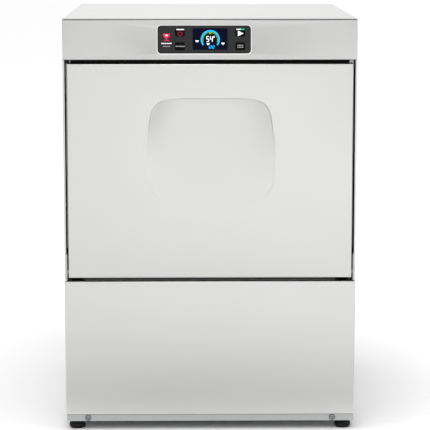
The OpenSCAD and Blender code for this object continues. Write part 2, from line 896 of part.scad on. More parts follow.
// Rubber elbow from the well down to the pump's eye
module suction_hose() {
    wall = 3;
    color(rubber_black) difference() {
        union() {
            rod_z(well_x, well_y, pump_z + suction_bend, suction_r + wall + 0.1,
                  well_floor - 2 - pump_z - suction_bend);
            pipe_run([[well_x, well_y, pump_z + suction_bend + 1], [well_x, well_y, pump_z],
                      [well_x, housing_front - 2, pump_z]], suction_r, suction_bend);
        }
        rod_z(well_x, well_y, pump_z + suction_bend, suction_r + 0.1, 60);
    }
}

// Steel and rubber pipework that feeds the lower and the upper wash arm
module wash_manifold() {
    tee_z = discharge_z + 44;
    riser = [[pump_x + 67, arm_y, discharge_z], [0, arm_y, discharge_z],
             [0, arm_y, tank_floor - 15]];
    header = [[0, arm_y, tee_z], [0, riser_y, tee_z], [0, riser_y, header_z],
              [0, arm_y, header_z], [0, arm_y, chamber_top + 13]];
    color(rubber_black) difference() {
        union() {
            pipe_run(riser, pipe_r + 2, pipe_bend + 4);
            pipe_run(header, pipe_r, pipe_bend);
        }
        pipe_run(riser, pipe_bore, pipe_bend + 4);
        pipe_run(header, pipe_bore, pipe_bend);
    }
}

// Pressure tank that heats the rinse water, with its heater flange at the front
module boiler() {
    wall = 1.5;
    saddle_w = 24;
    color(steel) {
        difference() {
            union() {
                rod_y(boiler_x, boiler_front, boiler_z, boiler_r, boiler_rear - boiler_front);
                rod_y(boiler_x, boiler_front - 6, boiler_z, 32, 6);
                for (y = [boiler_front + 30, boiler_rear - 30 - saddle_w])
                    block([boiler_x - 45, y, tray_top], [boiler_x + 45, y + saddle_w, boiler_z - 40]);
            }
            rod_y(boiler_x, boiler_front + wall, boiler_z, boiler_r - wall,
                  boiler_rear - boiler_front - 2 * wall);
        }
    }
}

// Thin pipes from the boiler to the rinse arms
module rinse_pipe() {
    side_z = boiler_z + 30;
    upper_z = chamber_top + 8;
    lower_z = tank_floor - 8;
    color(copper_red) {
        pipe_run([[boiler_x, boiler_rear, side_z], [boiler_x, riser_y, side_z],
                  [boiler_x, riser_y, upper_z], [boiler_x, arm_y, upper_z],
                  [16.1, arm_y, upper_z]], rinse_r, rinse_bend);
        pipe_run([[boiler_x, arm_y, boiler_z + boiler_r], [boiler_x, arm_y, lower_z],
                  [post_r + 0.1, arm_y, lower_z]], rinse_r, rinse_bend);
    }
}

// Solenoid valve; its threaded nose stands out through the connection plate
module inlet_valve() {
    nose_end = plate_y + 19;
    collar_y = plate_y + tray_t + 0.1;
    color(plastic_grey) difference() {
        union() {
            block([inlet_x - 20, plate_y - 40, inlet_z - 18],
                  [inlet_x + 20, plate_y - 0.1, inlet_z + 18]);
            rod_z(inlet_x, plate_y - 22, inlet_z, 14, 40);
            rod_y(inlet_x, plate_y - 1, inlet_z, inlet_thread_r, nose_end - plate_y + 1);
            rod_y(inlet_x, collar_y, inlet_z, inlet_thread_r + 3, 2.4);
        }
        rod_y(inlet_x, plate_y + 2, inlet_z, 8, nose_end - plate_y);
    }
}

// Drain pump; its spigot for the waste hose stands out through the connection plate
module drain_pump() {
    body_r = 30;
    collar_y = plate_y + tray_t + 0.1;
    color(plastic_black) difference() {
        union() {
            rod_y(drain_x, plate_y - 59, drain_z, body_r, 58.9);
            rod_y(drain_x, plate_y - 1, drain_z, drain_spigot_r, 31.5);
            rod_y(drain_x, collar_y, drain_z, drain_spigot_r + 3, 2.4);
            rod_z(drain_x, tank_rear_y - 12, drain_z + 20, 10, tank_floor - drain_z - 20.1);
            block([drain_x - 20, plate_y - 50, tray_top],
                  [drain_x + 20, plate_y - 15, drain_z - 15]);
        }
        rod_y(drain_x, plate_y - 5, drain_z, drain_spigot_r - 2.5, 40);
    }
}

// Gland for the mains cable
module cable_gland() {
    color(plastic_black) difference() {
        union() {
            rod_y(0, plate_y - 6, gland_z, gland_thread_r, 24);
            rod_y(0, plate_y - 5.1, gland_z, 11, 5);
            rod_y(0, plate_y + tray_t + 0.1, gland_z, 11, 9);
            rod_y(0, plate_y + tray_t + 9.1, gland_z, 9.3, 8);
        }
        rod_y(0, plate_y - 8, gland_z, gland_bore_r, 40);
    }
}

// Two peristaltic pumps for detergent and rinse aid
module dosing_pumps() {
    color(plastic_grey)
        for (y = [front_y + 35, front_y + 90]) {
            block([-212, y, tray_top], [-164, y + 42, tray_top + 55]);
            rod_x(-164, y + 21, tray_top + 28, 18, 16);
        }
}

// Cover over the mains terminals and the contactors
module terminal_box() {
    wall = 2;
    color(plastic_grey) difference() {
        block([120, front_y + 33, tray_top], [205, front_y + 90, 150]);
        block([120 + wall, front_y + 33 + wall, tray_top - 1],
              [205 - wall, front_y + 90 - wall, 150 - wall]);
    }
}

// ---------------------------------------------------------------- controls

// Position of each key's centre, in X and Z
power_at = [-key_x, key_z_high];
menu_at = [-key_x, key_z_low];
start_at = [key_x, key_z_high];
info_at = [key_x, key_z_low];

// Glossy overlay with the display window and four key openings
module control_overlay() {
    color(plastic_black) difference() {
        front_profile(overlay_front, overlay_t)
            translate([overlay_x, overlay_z]) round_rect(overlay_w, overlay_h, 4.8);
        block([-window_half, front_y - 1, window_low],
              [window_half, front_y + 10, window_high]);
        for (at = [power_at, menu_at, start_at, info_at])
            front_profile(front_y - 1, 10) translate(at)
                round_rect(key_size.x + 2 * key_gap, key_size.y + 2 * key_gap, key_round);
    }
}

module display_screen() {
    color("#10122e")
        block([-window_half + 0.1, overlay_front + 0.4, window_low + 0.1],
              [window_half - 0.1, overlay_front + 3.4, window_high - 0.1]);
}

// Key cap that goes in by 1 mm, with a collar behind the overlay
module key_cap(at) {
    collar_y = overlay_front + overlay_t + 0.3;
    color(plastic_black) {
        front_profile(front_y, collar_y - front_y) translate(at)
            round_rect(key_size.x, key_size.y, key_round);
        front_profile(collar_y, 1) translate(at)
            round_rect(key_size.x + 3, key_size.y + 3, key_round);
        front_profile(collar_y + 1, 2) translate(at) circle(r = 3);
    }
}

module button_power() { key_cap(power_at); }
module button_menu() { key_cap(menu_at); }
module button_start() { key_cap(start_at); }
module button_info() { key_cap(info_at); }

// Circuit board behind the overlay, with the four switches that the keys press
module control_board() {
    switch_h = 0.8;
    color(board_green) {
        block([overlay_x - 71, board_y, overlay_z - 20],
              [overlay_x + 71, board_y + 1.6, overlay_z + 20]);
        for (at = [power_at, menu_at, start_at, info_at])
            front_profile(board_y - switch_h, switch_h) translate(at) circle(r = 3);
        for (sx = [-1, 1], sz = [-1, 1])
            rod_y(overlay_x + sx * 68.8, overlay_front + overlay_t, overlay_z + sz * 17, 2,
                  board_y - overlay_front - overlay_t);
    }
}

base_tray();
side_panel_left();
side_panel_right();
rear_panel();
rear_panel_screws();
top_cover();
control_fascia();
lower_front_panel();
lower_panel_screws();
foot_front_left();
foot_front_right();
foot_rear_left();
foot_rear_right();
door_outer_skin();
door_inner_skin();
hinge_arm_left();
hinge_arm_right();
hinge_pins();
hinge_arm_screws();
hinge_post_left();
hinge_post_right();
door_spring_left();
door_spring_right();
spring_anchors();
door_seal();
door_catches();
wash_chamber();
sump_tank();
basket_rail_left();
basket_rail_right();
filter_plates();
sump_strainer();
tank_heater();
lower_arm_post();
lower_wash_arm();
lower_rinse_arm();
upper_arm_post();
upper_wash_arm();
upper_rinse_arm();
arm_nuts();
glass_basket();
wash_pump_motor();
wash_pump_housing();
pump_impeller();
suction_hose();
wash_manifold();
boiler();
rinse_pipe();
inlet_valve();
drain_pump();
cable_gland();
dosing_pumps();
terminal_box();
control_overlay();
display_screen();
button_power();
button_menu();
button_start();
button_info();
control_board();
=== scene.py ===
import math

import bmesh
import bpy
from mathutils import Matrix, Vector


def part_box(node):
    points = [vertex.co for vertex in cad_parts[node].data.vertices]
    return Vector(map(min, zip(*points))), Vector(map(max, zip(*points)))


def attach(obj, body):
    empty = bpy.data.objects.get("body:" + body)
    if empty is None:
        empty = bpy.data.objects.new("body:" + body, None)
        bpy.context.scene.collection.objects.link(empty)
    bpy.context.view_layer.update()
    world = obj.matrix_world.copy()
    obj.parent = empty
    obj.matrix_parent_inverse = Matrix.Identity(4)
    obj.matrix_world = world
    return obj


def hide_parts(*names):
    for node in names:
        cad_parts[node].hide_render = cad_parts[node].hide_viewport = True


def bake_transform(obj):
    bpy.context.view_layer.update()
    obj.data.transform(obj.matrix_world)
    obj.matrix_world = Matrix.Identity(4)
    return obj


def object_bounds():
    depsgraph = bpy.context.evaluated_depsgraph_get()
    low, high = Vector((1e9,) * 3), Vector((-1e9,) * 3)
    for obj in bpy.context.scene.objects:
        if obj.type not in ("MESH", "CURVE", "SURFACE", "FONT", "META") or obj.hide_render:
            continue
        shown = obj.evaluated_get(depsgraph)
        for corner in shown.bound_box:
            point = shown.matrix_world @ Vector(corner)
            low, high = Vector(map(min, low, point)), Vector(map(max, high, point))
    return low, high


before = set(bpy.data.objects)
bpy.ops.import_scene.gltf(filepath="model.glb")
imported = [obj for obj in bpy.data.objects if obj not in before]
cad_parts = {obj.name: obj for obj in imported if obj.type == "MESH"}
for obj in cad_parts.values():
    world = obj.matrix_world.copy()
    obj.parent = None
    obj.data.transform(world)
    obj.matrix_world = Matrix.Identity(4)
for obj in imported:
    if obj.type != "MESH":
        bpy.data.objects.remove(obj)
cad_low, cad_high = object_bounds()
scene = bpy.context.scene
mm = 0.001

# ==== Studio ==============================================================================
# The machine stands on a wide white board, which is grey in front of it, out of the camera's
# sight: painted shade, so that the lower panel darkens downwards. The board also glows more away
# from the machine and is a little lighter to the right: painted light. A large soft lamp hangs
# high on the left.

camera_data = bpy.data.cameras.new("camera")
camera_data.lens = 161.9
camera_data.sensor_width = 36
camera_data.shift_y = -0.08
camera = bpy.data.objects.new("camera", camera_data)
camera.location = (-0.0306, cad_low.y - 3.0763, cad_high.z + 0.1539)
camera.rotation_euler = (math.radians(90 - 7.66), 0, math.radians(-0.716))
scene.collection.objects.link(camera)
scene.camera = camera
scene.view_settings.view_transform = "Standard"


def lamp(name, size, watts, place, aim):
    """Square soft lamp that points at aim."""
    data = bpy.data.lights.new(name, "AREA")
    data.size = size
    data.energy = watts
    made = bpy.data.objects.new(name, data)
    made.location = place
    made.rotation_euler = (Vector(aim) - Vector(place)).to_track_quat("-Z", "Y").to_euler()
    scene.collection.objects.link(made)


lamp("soft_above", 3.2, 66, (-0.7, -1.5, 3.9), (0, 0, 0.3))
lamp("soft_right", 1.5, 18, (2.8, -1.8, 1.9), (0, 0, 0.3))
lamp("soft_rear", 2.4, 8, (-0.9, 2.4, 3.0), (0, 0, 0.3))


def paint(code):
    """Linear colour of an sRGB hex value."""
    channels = [int(code[i : i + 2], 16) / 255 for i in (1, 3, 5)]
    return [c / 12.92 if c <= 0.04045 else ((c + 0.055) / 1.055) ** 2.4 for c in channels] + [1]


def node(tree, kind, inputs=None, **settings):
    """Adds a node with its settings; an input is a value or the socket that feeds it."""
    made = tree.nodes.new(kind)
    for key, value in settings.items():
        setattr(made, key, value)
    for socket, value in (inputs or {}).items():
        if isinstance(value, bpy.types.NodeSocket):
            tree.links.new(value, made.inputs[socket])
        else:
            made.inputs[socket].default_value = value
    return made


def finish(name, slot, colour, metallic, roughness, **sockets):
    """Starts a material: its shader's even values, and the record's slot that it belongs to."""
    made = bpy.data.materials.new(name)
    made.use_nodes = True
    shader = made.node_tree.nodes["Principled BSDF"]
    values = {"Base Color": paint(colour), "Metallic": metallic, "Roughness": roughness}
    values.update({key.replace("_", " "): value for key, value in sockets.items()})
    for socket, value in values.items():
        shader.inputs[socket].default_value = value
    made["slot"] = slot
    return made, made.node_tree, shader


world = bpy.data.worlds.new("white_room")
world.use_nodes = True
scene.world = world
room = world.node_tree
room_way = node(room, "ShaderNodeTexCoord").outputs["Generated"]
room_parts = node(room, "ShaderNodeSeparateXYZ", {"Vector": room_way})
room_across = node(
    room, "ShaderNodeMapRange", {"Value": room_parts.outputs["X"], "From Min": -1.0}
)
room_side = node(room, "ShaderNodeValToRGB", {"Fac": room_across.outputs[0]})
shades = [(0.0, 0.38), (0.14, 0.54), (0.27, 0.7), (0.5, 1.0), (0.58, 0.97), (0.74, 0.5), (1.0, 0.34)]
ramp = room_side.color_ramp.elements
while len(ramp) < len(shades):
    ramp.new(0.5)
for stop, (at, value) in zip(ramp, shades):
    stop.position = at
    stop.color = (value, value, value, 1)
room.links.new(room_side.outputs["Color"], room.nodes["Background"].inputs["Color"])
room.nodes["Background"].inputs["Strength"].default_value = 1.1

board_look, board_tree, board_shader = finish(
    "white_board", "", "#f6f6f6", 0, 0.8, Emission_Color=paint("#ffffff")
)
board_far = node(
    board_tree,
    "ShaderNodeVectorMath",
    {0: node(board_tree, "ShaderNodeTexCoord").outputs["Object"]},
    operation="LENGTH",
)
# Painted light: the board glows more the further it lies from the machine
board_painted_glow = node(
    board_tree,
    "ShaderNodeMapRange",
    {"Value": board_far.outputs["Value"], "From Min": 0.3, "From Max": 1.2, "To Max": 0.3},
)
board_tree.links.new(board_painted_glow.outputs["Result"], board_shader.inputs["Emission Strength"])
board_place = node(
    board_tree,
    "ShaderNodeSeparateXYZ",
    {"Vector": node(board_tree, "ShaderNodeTexCoord").outputs["Object"]},
)
board_way = node(
    board_tree,
    "ShaderNodeMapRange",
    {"Value": board_place.outputs["Y"], "From Min": cad_low.y, "From Max": cad_low.y - 3},
)
board_ramp = node(board_tree, "ShaderNodeValToRGB", {"Fac": board_way.outputs["Result"]})
board_ramp.color_ramp.interpolation = "EASE"
# Painted shade: the board is grey in front of the machine, out of the camera's sight
board_shade_greys = [(0.0, 0.93), (0.055, 0.55), (0.15, 0.58), (0.25, 0.6), (0.45, 0.62), (0.75, 0.7), (1.0, 0.93)]
stops = board_ramp.color_ramp.elements
while len(stops) < len(board_shade_greys):
    stops.new(0.5)
for stop, (at, value) in zip(stops, board_shade_greys):
    stop.position = at
    stop.color = (value, value, value, 1)
# Painted light: the board is a little lighter towards the right
board_painted_lean = node(
    board_tree,
    "ShaderNodeMapRange",
    {
        "Value": board_place.outputs["X"],
        "From Min": -0.5,
        "From Max": 0.5,
        "To Min": 0.93,
        "To Max": 1.07,
    },
)
board_mix = node(
    board_tree,
    "ShaderNodeMath",
    {0: board_ramp.outputs["Color"], 1: board_painted_lean.outputs["Result"]},
    operation="MULTIPLY",
)
board_tree.links.new(board_mix.outputs[0], board_shader.inputs["Base Color"])
board_mesh = bmesh.new()
bmesh.ops.create_grid(board_mesh, x_segments=8, y_segments=8, size=30)
board_data = bpy.data.meshes.new("white_board")
board_mesh.to_mesh(board_data)
board_mesh.free()
board_data.materials.append(board_look)
board = bpy.data.objects.new("white_board", board_data)
scene.collection.objects.link(board)

# ==== Base tray and connection plate ======================================================
# Folded from one thick stainless sheet, left as it comes from the mill: a cool, dull grey
# with faint rolling lines. It carries the pumps, and its rear wall holds the connections.


def rolled_steel(name, slot, colour, roughness, grain_mm, depth):
    """Bare steel sheet: fine lines drawn along the long side of grain_mm, and faint clouds."""
    made, tree, shader = finish(name, slot, colour, 1.0, roughness)
    place = node(tree, "ShaderNodeTexCoord").outputs["Object"]
    stretched = node(
        tree,
        "ShaderNodeMapping",
        {"Vector": place, "Scale": [1 / (mm * size) for size in grain_mm]},
    )
    lines = node(
        tree,
        "ShaderNodeTexNoise",
        {"Vector": stretched.outputs["Vector"], "Scale": 1.0, "Detail": 4.0, "Roughness": 0.6},
    )
    clouds = node(
        tree, "ShaderNodeTexNoise", {"Vector": place, "Scale": 7.0, "Detail": 2.0}
    )
    both = node(
        tree,
        "ShaderNodeMath",
        {0: lines.outputs["Fac"], 1: clouds.outputs["Fac"]},
        operation="ADD",
    )
    dullness = node(
        tree,
        "ShaderNodeMapRange",
        {
            "Value": both.outputs[0],
            "From Min": 0.7,
            "From Max": 1.3,
            "To Min": roughness - 0.025,
            "To Max": roughness + 0.025,
        },
    )
    tree.links.new(dullness.outputs["Result"], shader.inputs["Roughness"])
    ridges = node(
        tree,
        "ShaderNodeBump",
        {"Height": lines.outputs["Fac"], "Strength": depth, "Distance": 0.1 * mm},
    )
    tree.links.new(ridges.outputs["Normal"], shader.inputs["Normal"])
    return made


def dress(look, *names):
    """Gives CAD nodes that are shown as they are their finish."""
    for name in names:
        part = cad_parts[name]
        if part.data.materials:
            for place in part.material_slots:
                place.material = look
        else:
            part.data.materials.append(look)


# Mill finish: the rolling lines are wider and softer than ground ones
mill_sheet = rolled_steel("mill_finish_sheet", "zinc_sheet", "#bdbfbf", 0.42, (40, 2, 2), 0.1)
dress(mill_sheet, "base_tray")

# ==== Levelling feet ======================================================================
# Black rubber pads moulded on threaded studs, which screw into bosses in the tray. The rubber
# is soft and dusty, wider above the floor, and the stud's bright thread shows when let down.

rubber, rubber_tree, rubber_shader = finish(
    "moulded_rubber", "black_rubber", "#0c0c0d", 0, 0.62, Specular_IOR_Level=0.25
)
rubber_grit = node(
    rubber_tree,
    "ShaderNodeTexNoise",
    {
        "Vector": node(rubber_tree, "ShaderNodeTexCoord").outputs["Object"],
        "Scale": 900.0,
        "Detail": 2.0,
    },
)
rubber_skin = node(
    rubber_tree,
    "ShaderNodeBump",
    {"Height": rubber_grit.outputs["Fac"], "Strength": 0.3, "Distance": 0.2 * mm},
)
rubber_tree.links.new(rubber_skin.outputs["Normal"], rubber_shader.inputs["Normal"])

# Plain stainless for turned and stamped pieces: dull, with fine turning marks
dull_steel = rolled_steel("dull_stainless", "satin_steel", "#b4b7b9", 0.34, (6, 6, 0.8), 0.08)


def settle(mesh, smooth_to):
    """Smooth shading up to an angle in degrees, sharp edges beyond it."""
    mesh.polygons.foreach_set("use_smooth", [True] * len(mesh.polygons))
    mesh.set_sharp_from_angle(angle=math.radians(smooth_to))


def piece(name, bm, look, body, replaced=(), wall=0, rim=0, smooth_to=35):
    """Makes a finished object of a bmesh, with a wall's thickness and a broken rim if asked."""
    mesh = bpy.data.meshes.new(name)
    bm.to_mesh(mesh)
    bm.free()
    made = bpy.data.objects.new(name, mesh)
    scene.collection.objects.link(made)
    if wall:
        shell = made.modifiers.new("wall", "SOLIDIFY")
        shell.thickness = wall
        shell.offset = -1
        shell.use_even_offset = True
    if rim:
        edge = made.modifiers.new("rim", "BEVEL")
        edge.width = rim
        edge.segments = 2
        edge.limit_method = "ANGLE"
        edge.angle_limit = math.radians(50)
    if made.modifiers:
        solid = made.evaluated_get(bpy.context.evaluated_depsgraph_get())
        made.data = bpy.data.meshes.new_from_object(solid)
        made.modifiers.clear()
        bpy.data.meshes.remove(mesh)
        made.data.name = name
    settle(made.data, smooth_to)
    made.data.materials.append(look)
    if body:
        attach(made, body)
    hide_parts(*replaced)
    return made


def lathe(bm, outline, place, turn=None, steps=48):
    """Closed solid of revolution: outline is (radius, height) pairs from axis to axis."""
    start = [bm.verts.new((radius, 0, height)) for radius, height in outline]
    edges = [bm.edges.new(pair) for pair in zip(start, start[1:])]
    bmesh.ops.spin(
        bm,
        geom=start + edges,
        axis=(0, 0, 1),
        cent=(0, 0, 0),
        steps=steps,
        angle=2 * math.pi,
        use_merge=True,
    )
    made = [v for v in bm.verts if v.is_valid and not v.tag]
    bmesh.ops.remove_doubles(bm, verts=made, dist=0.002 * mm)
    made = [v for v in bm.verts if not v.tag]
    bmesh.ops.transform(bm, matrix=Matrix.Translation(place) @ (turn or Matrix()), verts=made)
    for vert in made:
        vert.tag = True


foot_names = {
    "front_left_foot": "foot_front_left",
    "front_right_foot": "foot_front_right",
    "rear_left_foot": "foot_rear_left",
    "rear_right_foot": "foot_rear_right",
}
for body, cad in foot_names.items():
    low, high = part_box(cad)
    middle = (low + high) / 2
    pad_outline = [(0, 0.4), (8, 0.4), (8.6, 0), (10.6, 0), (11.6, 0.7), (12.7, 2.6), (13, 4)]
    pad_outline += [(13, 6.6), (12.6, 8), (11.2, 10.8), (10.3, 12.9), (9.6, 13.5), (0, 13.5)]
    foot = bmesh.new()
    lathe(foot, [(r * mm, h * mm) for r, h in pad_outline], (middle.x, middle.y, 0))
    bmesh.ops.recalc_face_normals(foot, faces=foot.faces)
    piece(f"{cad}_pad", foot, rubber, body, [cad])
    stud = bmesh.new()
    thread = [(0, 13.5)]
    for turn in range(26):
        thread += [(4.0, 13.6 + 1.25 * turn), (3.5, 14.2 + 1.25 * turn)]
    thread += [(3.6, high.z / mm - 0.8), (3.0, high.z / mm), (0, high.z / mm)]
    lathe(stud, [(r * mm, h * mm) for r, h in thread], (middle.x, middle.y, 0), steps=24)
    bmesh.ops.recalc_face_normals(stud, faces=stud.faces)
    piece(f"{cad}_stud", stud, dull_steel, body)

# ==== Side panels =========================================================================
# One folded sheet each side, ground to a satin finish with the grain running front to back.
# Beside the door the sheet turns in to a narrow jamb, and at the rear to a screw flange.

# Satin-ground stainless: soft reflections that smear along the grinding lines
satin = rolled_steel("satin_ground_stainless", "steel_sheet", "#dcdcdb", 0.30, (60, 60, 0.7), 0.012)
# A darker copy of the satin sheet for the fascia and the lid: painted shade
satin_shaded_top = rolled_steel("satin_ground_shaded_top", "steel_sheet", "#cdcdcc", 0.30, (60, 0.7, 0.7), 0.012)
satin_across = rolled_steel("satin_ground_across", "steel_sheet", "#dcdcdb", 0.30, (60, 0.7, 0.7), 0.012)
sheet = 1.2 * mm
fold_r = 2.0 * mm
jamb_w = 3 * mm


def outline_face(bm, points):
    """Flat face through a few points."""
    return bm.faces.new([bm.verts.new(point) for point in points])


def extruded(bm, edges, step):
    """Draws edges out by a step and returns the new free edges."""
    made = bmesh.ops.extrude_edge_only(bm, edges=edges)["geom"]
    verts = [part for part in made if isinstance(part, bmesh.types.BMVert)]
    bmesh.ops.translate(bm, verts=verts, vec=step)
    return [part for part in made if isinstance(part, bmesh.types.BMEdge) and part.is_boundary]


def bend(bm, edges, radius, segments=4):
    """Rounds fold lines."""
    bmesh.ops.bevel(
        bm,
        geom=edges,
        offset=radius,
        offset_type="OFFSET",
        segments=segments,
        profile=0.5,
        affect="EDGES",
        material=-1,
    )


def edges_at(bm, test):
    """Edges whose middle passes a test."""
    return [e for e in bm.edges if test((e.verts[0].co + e.verts[1].co) / 2)]


panel_low, panel_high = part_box("side_panel_right")
lower_low, lower_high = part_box("lower_front_panel")
fascia_low, fascia_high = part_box("control_fascia")
door_low, door_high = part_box("door_outer_skin")
step_y = cad_low.y + 20.5 * mm
jamb_low = lower_high.z + 0.5 * mm
jamb_high = fascia_low.z - 0.5 * mm
for side, hand in ((-1, "left"), (1, "right")):
    x = side * cad_high.x
    rear_y = cad_high.y - 1.2 * mm
    side_sheet = bmesh.new()
    outline_face(
        side_sheet,
        [
            (x, step_y, panel_low.z),
            (x, rear_y, panel_low.z),
            (x, rear_y, panel_high.z),
            (x, step_y, panel_high.z),
            (x, step_y, jamb_high),
            (x, cad_low.y, jamb_high),
            (x, cad_low.y, jamb_low),
            (x, step_y, jamb_low),
        ],
    )
    front_edge = edges_at(side_sheet, lambda p: abs(p.y - cad_low.y) < 1e-5)
    jamb_edge = extruded(side_sheet, front_edge, (-side * jamb_w, 0, 0))
    extruded(side_sheet, jamb_edge, (0, 22 * mm, 0))
    rear_edge = edges_at(
        side_sheet, lambda p: abs(p.y - rear_y) < 1e-5 and abs(p.x - x) < 1e-5
    )
    extruded(side_sheet, rear_edge, (-side * 18.8 * mm, 0, 0))
    folds = edges_at(
        side_sheet,
        lambda p: abs(p.x - x) < 1e-5 and (abs(p.y - cad_low.y) < 1e-5 or abs(p.y - rear_y) < 1e-5),
    )
    bend(side_sheet, folds, fold_r)
    inner_fold = edges_at(
        side_sheet,
        lambda p: abs(p.x - x + side * jamb_w) < 1e-5 and abs(p.y - cad_low.y) < 1e-5,
    )
    bend(side_sheet, inner_fold, 0.8 * mm, 3)
    bmesh.ops.recalc_face_normals(side_sheet, faces=side_sheet.faces)
    if sum(f.normal.x * side * f.calc_area() for f in side_sheet.faces) < 0:
        bmesh.ops.reverse_faces(side_sheet, faces=side_sheet.faces)
    piece(
        f"side_sheet_{hand}",
        side_sheet,
        satin,
        "cabinet",
        [f"side_panel_{hand}"],
        wall=1.0 * mm,
    )

# ==== Rear panel ==========================================================================
# A flat satin sheet with two banks of slots that let the warm air out, held by eight small
# cross-head screws into the side panels' flanges.

dress(satin, "rear_panel")
dress(dull_steel, "rear_panel_screws")

# ==== Hinge posts and door springs ========================================================
# Thick steel cheeks carry the hinge pins. A long tension spring on each side balances the
# door: its lower hook sits on an anchor in the tray, its upper one on the hinge arm's tail.

dress(mill_sheet, "hinge_post_left", "hinge_post_right")
dress(dull_steel, "spring_anchors")


def wire(bm, path, radius, sides=8):
    """Round wire along a path of points, closed at both ends."""
    loops = []
    for i, point in enumerate(path):
        way = Vector(path[min(i + 1, len(path) - 1)]) - Vector(path[max(i - 1, 0)])
        turn = way.to_track_quat("Z", "Y").to_matrix().to_4x4()
        made = bmesh.ops.create_circle(
            bm, segments=sides, radius=radius, matrix=Matrix.Translation(point) @ turn
        )["verts"]
        loops.append(made)
    for near, far in zip(loops, loops[1:]):
        shift = min(range(sides), key=lambda k: (far[k].co - near[0].co).length)
        flip = (far[(shift + 1) % sides].co - near[1].co).length > (
            far[(shift - 1) % sides].co - near[1].co
        ).length
        step = -1 if flip else 1
        for i in range(sides):
            a, b = far[(shift + step * i) % sides], far[(shift + step * (i + 1)) % sides]
            bm.faces.new((near[i], near[(i + 1) % sides], b, a))
    for loop in (loops[0], loops[-1]):
        bm.faces.new(loop)


# Zinc-plated spring wire: cooler and darker than the sheet
spring_wire = rolled_steel("plated_spring_wire", "satin_steel", "#9a9da1", 0.32, (3, 3, 3), 0.05)
for side, hand in ((-1, "left"), (1, "right")):
    low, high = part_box(f"door_spring_{hand}")
    coil_x = side * 223.2 * mm
    hook_x = side * 226.9 * mm
    coil_y = (low.y + high.y) / 2
    path = [(hook_x, coil_y, low.z), (hook_x, coil_y, 70 * mm), (hook_x, coil_y, 73 * mm)]
    turns, per_turn = 50, 14
    coil_r, coil_foot, coil_rise = 5.9 * mm, 76, 108
    for i in range(turns * per_turn + 1):
        angle = 2 * math.pi * i / per_turn
        path.append(
            (
                coil_x + side * coil_r * math.cos(angle),
                coil_y + coil_r * math.sin(angle),
                (coil_foot + coil_rise * i / (turns * per_turn)) * mm,
            )
        )
    path += [(hook_x, coil_y, 187.5 * mm), (hook_x, coil_y, 190 * mm), (hook_x, coil_y, high.z)]
    coil = bmesh.new()
    wire(coil, path, 1.0 * mm)
    bmesh.ops.recalc_face_normals(coil, faces=coil.faces)
    spring = piece(f"spring_{hand}", coil, spring_wire, None, [f"door_spring_{hand}"], smooth_to=60)
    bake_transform(spring)

# ==== Tank, filters and heater ============================================================
# The tank is pressed from dull stainless and hangs under the chamber. Perforated trays cover
# it, and a plastic basket in its round well catches what they let through.

dress(dull_steel, "sump_tank", "tank_heater")

grey_moulding, _, _ = finish("grey_moulding", "grey_plastic", "#6b7075", 0, 0.45)
dress(grey_moulding, "sump_strainer")

tray_low, tray_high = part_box("filter_plates")
well_low, well_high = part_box("sump_strainer")
well_mid = (well_low + well_high) / 2
post_low, post_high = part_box("lower_arm_post")
post_mid = (post_low + post_high) / 2
pitch = 12 * mm
tray_size = tray_high - tray_low
filters = bmesh.new()
columns, rows = round(tray_size.x / pitch), round(tray_size.y / pitch)
bmesh.ops.create_grid(filters, x_segments=columns, y_segments=rows, size=0.5)
bmesh.ops.transform(
    filters,
    matrix=Matrix.Translation(((tray_low.x + tray_high.x) / 2, (tray_low.y + tray_high.y) / 2, tray_high.z))
    @ Matrix.Diagonal((tray_size.x, tray_size.y, 1, 1)),
    verts=filters.verts,
)


def near_round(face, middle, radius):
    centre = face.calc_center_median()
    return math.hypot(centre.x - middle.x, centre.y - middle.y) < radius


cut = [
    f for f in filters.faces if near_round(f, post_mid, 16 * mm) or near_round(f, well_mid, 38 * mm)
]
bmesh.ops.delete(filters, geom=cut, context="FACES")
cells = [f for f in filters.faces if all(not e.is_boundary for e in f.edges)]
bmesh.ops.inset_individual(filters, faces=cells, thickness=3 * mm, use_even_offset=True)
bmesh.ops.delete(filters, geom=cells, context="FACES")
piece("filter_trays", filters, dull_steel, "cabinet", ["filter_plates"], wall=1.1 * mm)

# ==== Arm posts and spray arms ============================================================
# Stainless arms, long ones for the wash and slim ones for the rinse, turn on posts above and
# below the glasses. Grey plastic nuts hold them on.

dress(dull_steel, "lower_arm_post", "upper_arm_post")
dress(dull_steel, "lower_wash_arm", "lower_rinse_arm", "upper_wash_arm", "upper_rinse_arm")
dress(grey_moulding, "arm_nuts")
nozzle_rows = {
    "lower_wash": (8, 3.4, 1, 170),
    "lower_rinse": (7, 1.4, 1, 160),
    "upper_wash": (8, 3.4, -1, 170),
    "upper_rinse": (7, 1.4, -1, 160),
}
# Flat dark discs stand in for the nozzle holes: painted shade, so each nozzle shows as a dark spot
nozzle_shade, _, _ = finish("nozzle_painted_shade", "satin_steel", "#1b1c1e", 0.6, 0.5)
for body, (count, radius, up, reach) in nozzle_rows.items():
    arm_low, arm_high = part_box(f"{body}_arm")
    arm_mid = (arm_low + arm_high) / 2
    spots = bmesh.new()
    along_x = arm_high.x - arm_low.x > arm_high.y - arm_low.y
    blade = {3.4: 4.5, 1.4: 3}[radius] * mm
    face_z = arm_mid.z + up * blade
    for side in (-1, 1):
        for i in range(count):
            out = side * (32 + (reach - 32) * i / (count - 1)) * mm
            place = (arm_mid.x + out, arm_mid.y, face_z) if along_x else (arm_mid.x, arm_mid.y + out, face_z)
            bmesh.ops.create_cone(
                spots,
                cap_ends=True,
                segments=16,
                radius1=radius * mm,
                radius2=radius * mm,
                depth=0.12 * mm,
                matrix=Matrix.Translation(place),
            )
    piece(f"{body}_nozzles", spots, nozzle_shade, body)

# ==== Wash chamber ========================================================================
# A satin stainless box whose long corners are rounded so that they wash clean. Its front edge
# turns out into a flat flange, which carries the rubber seal that the door presses on.

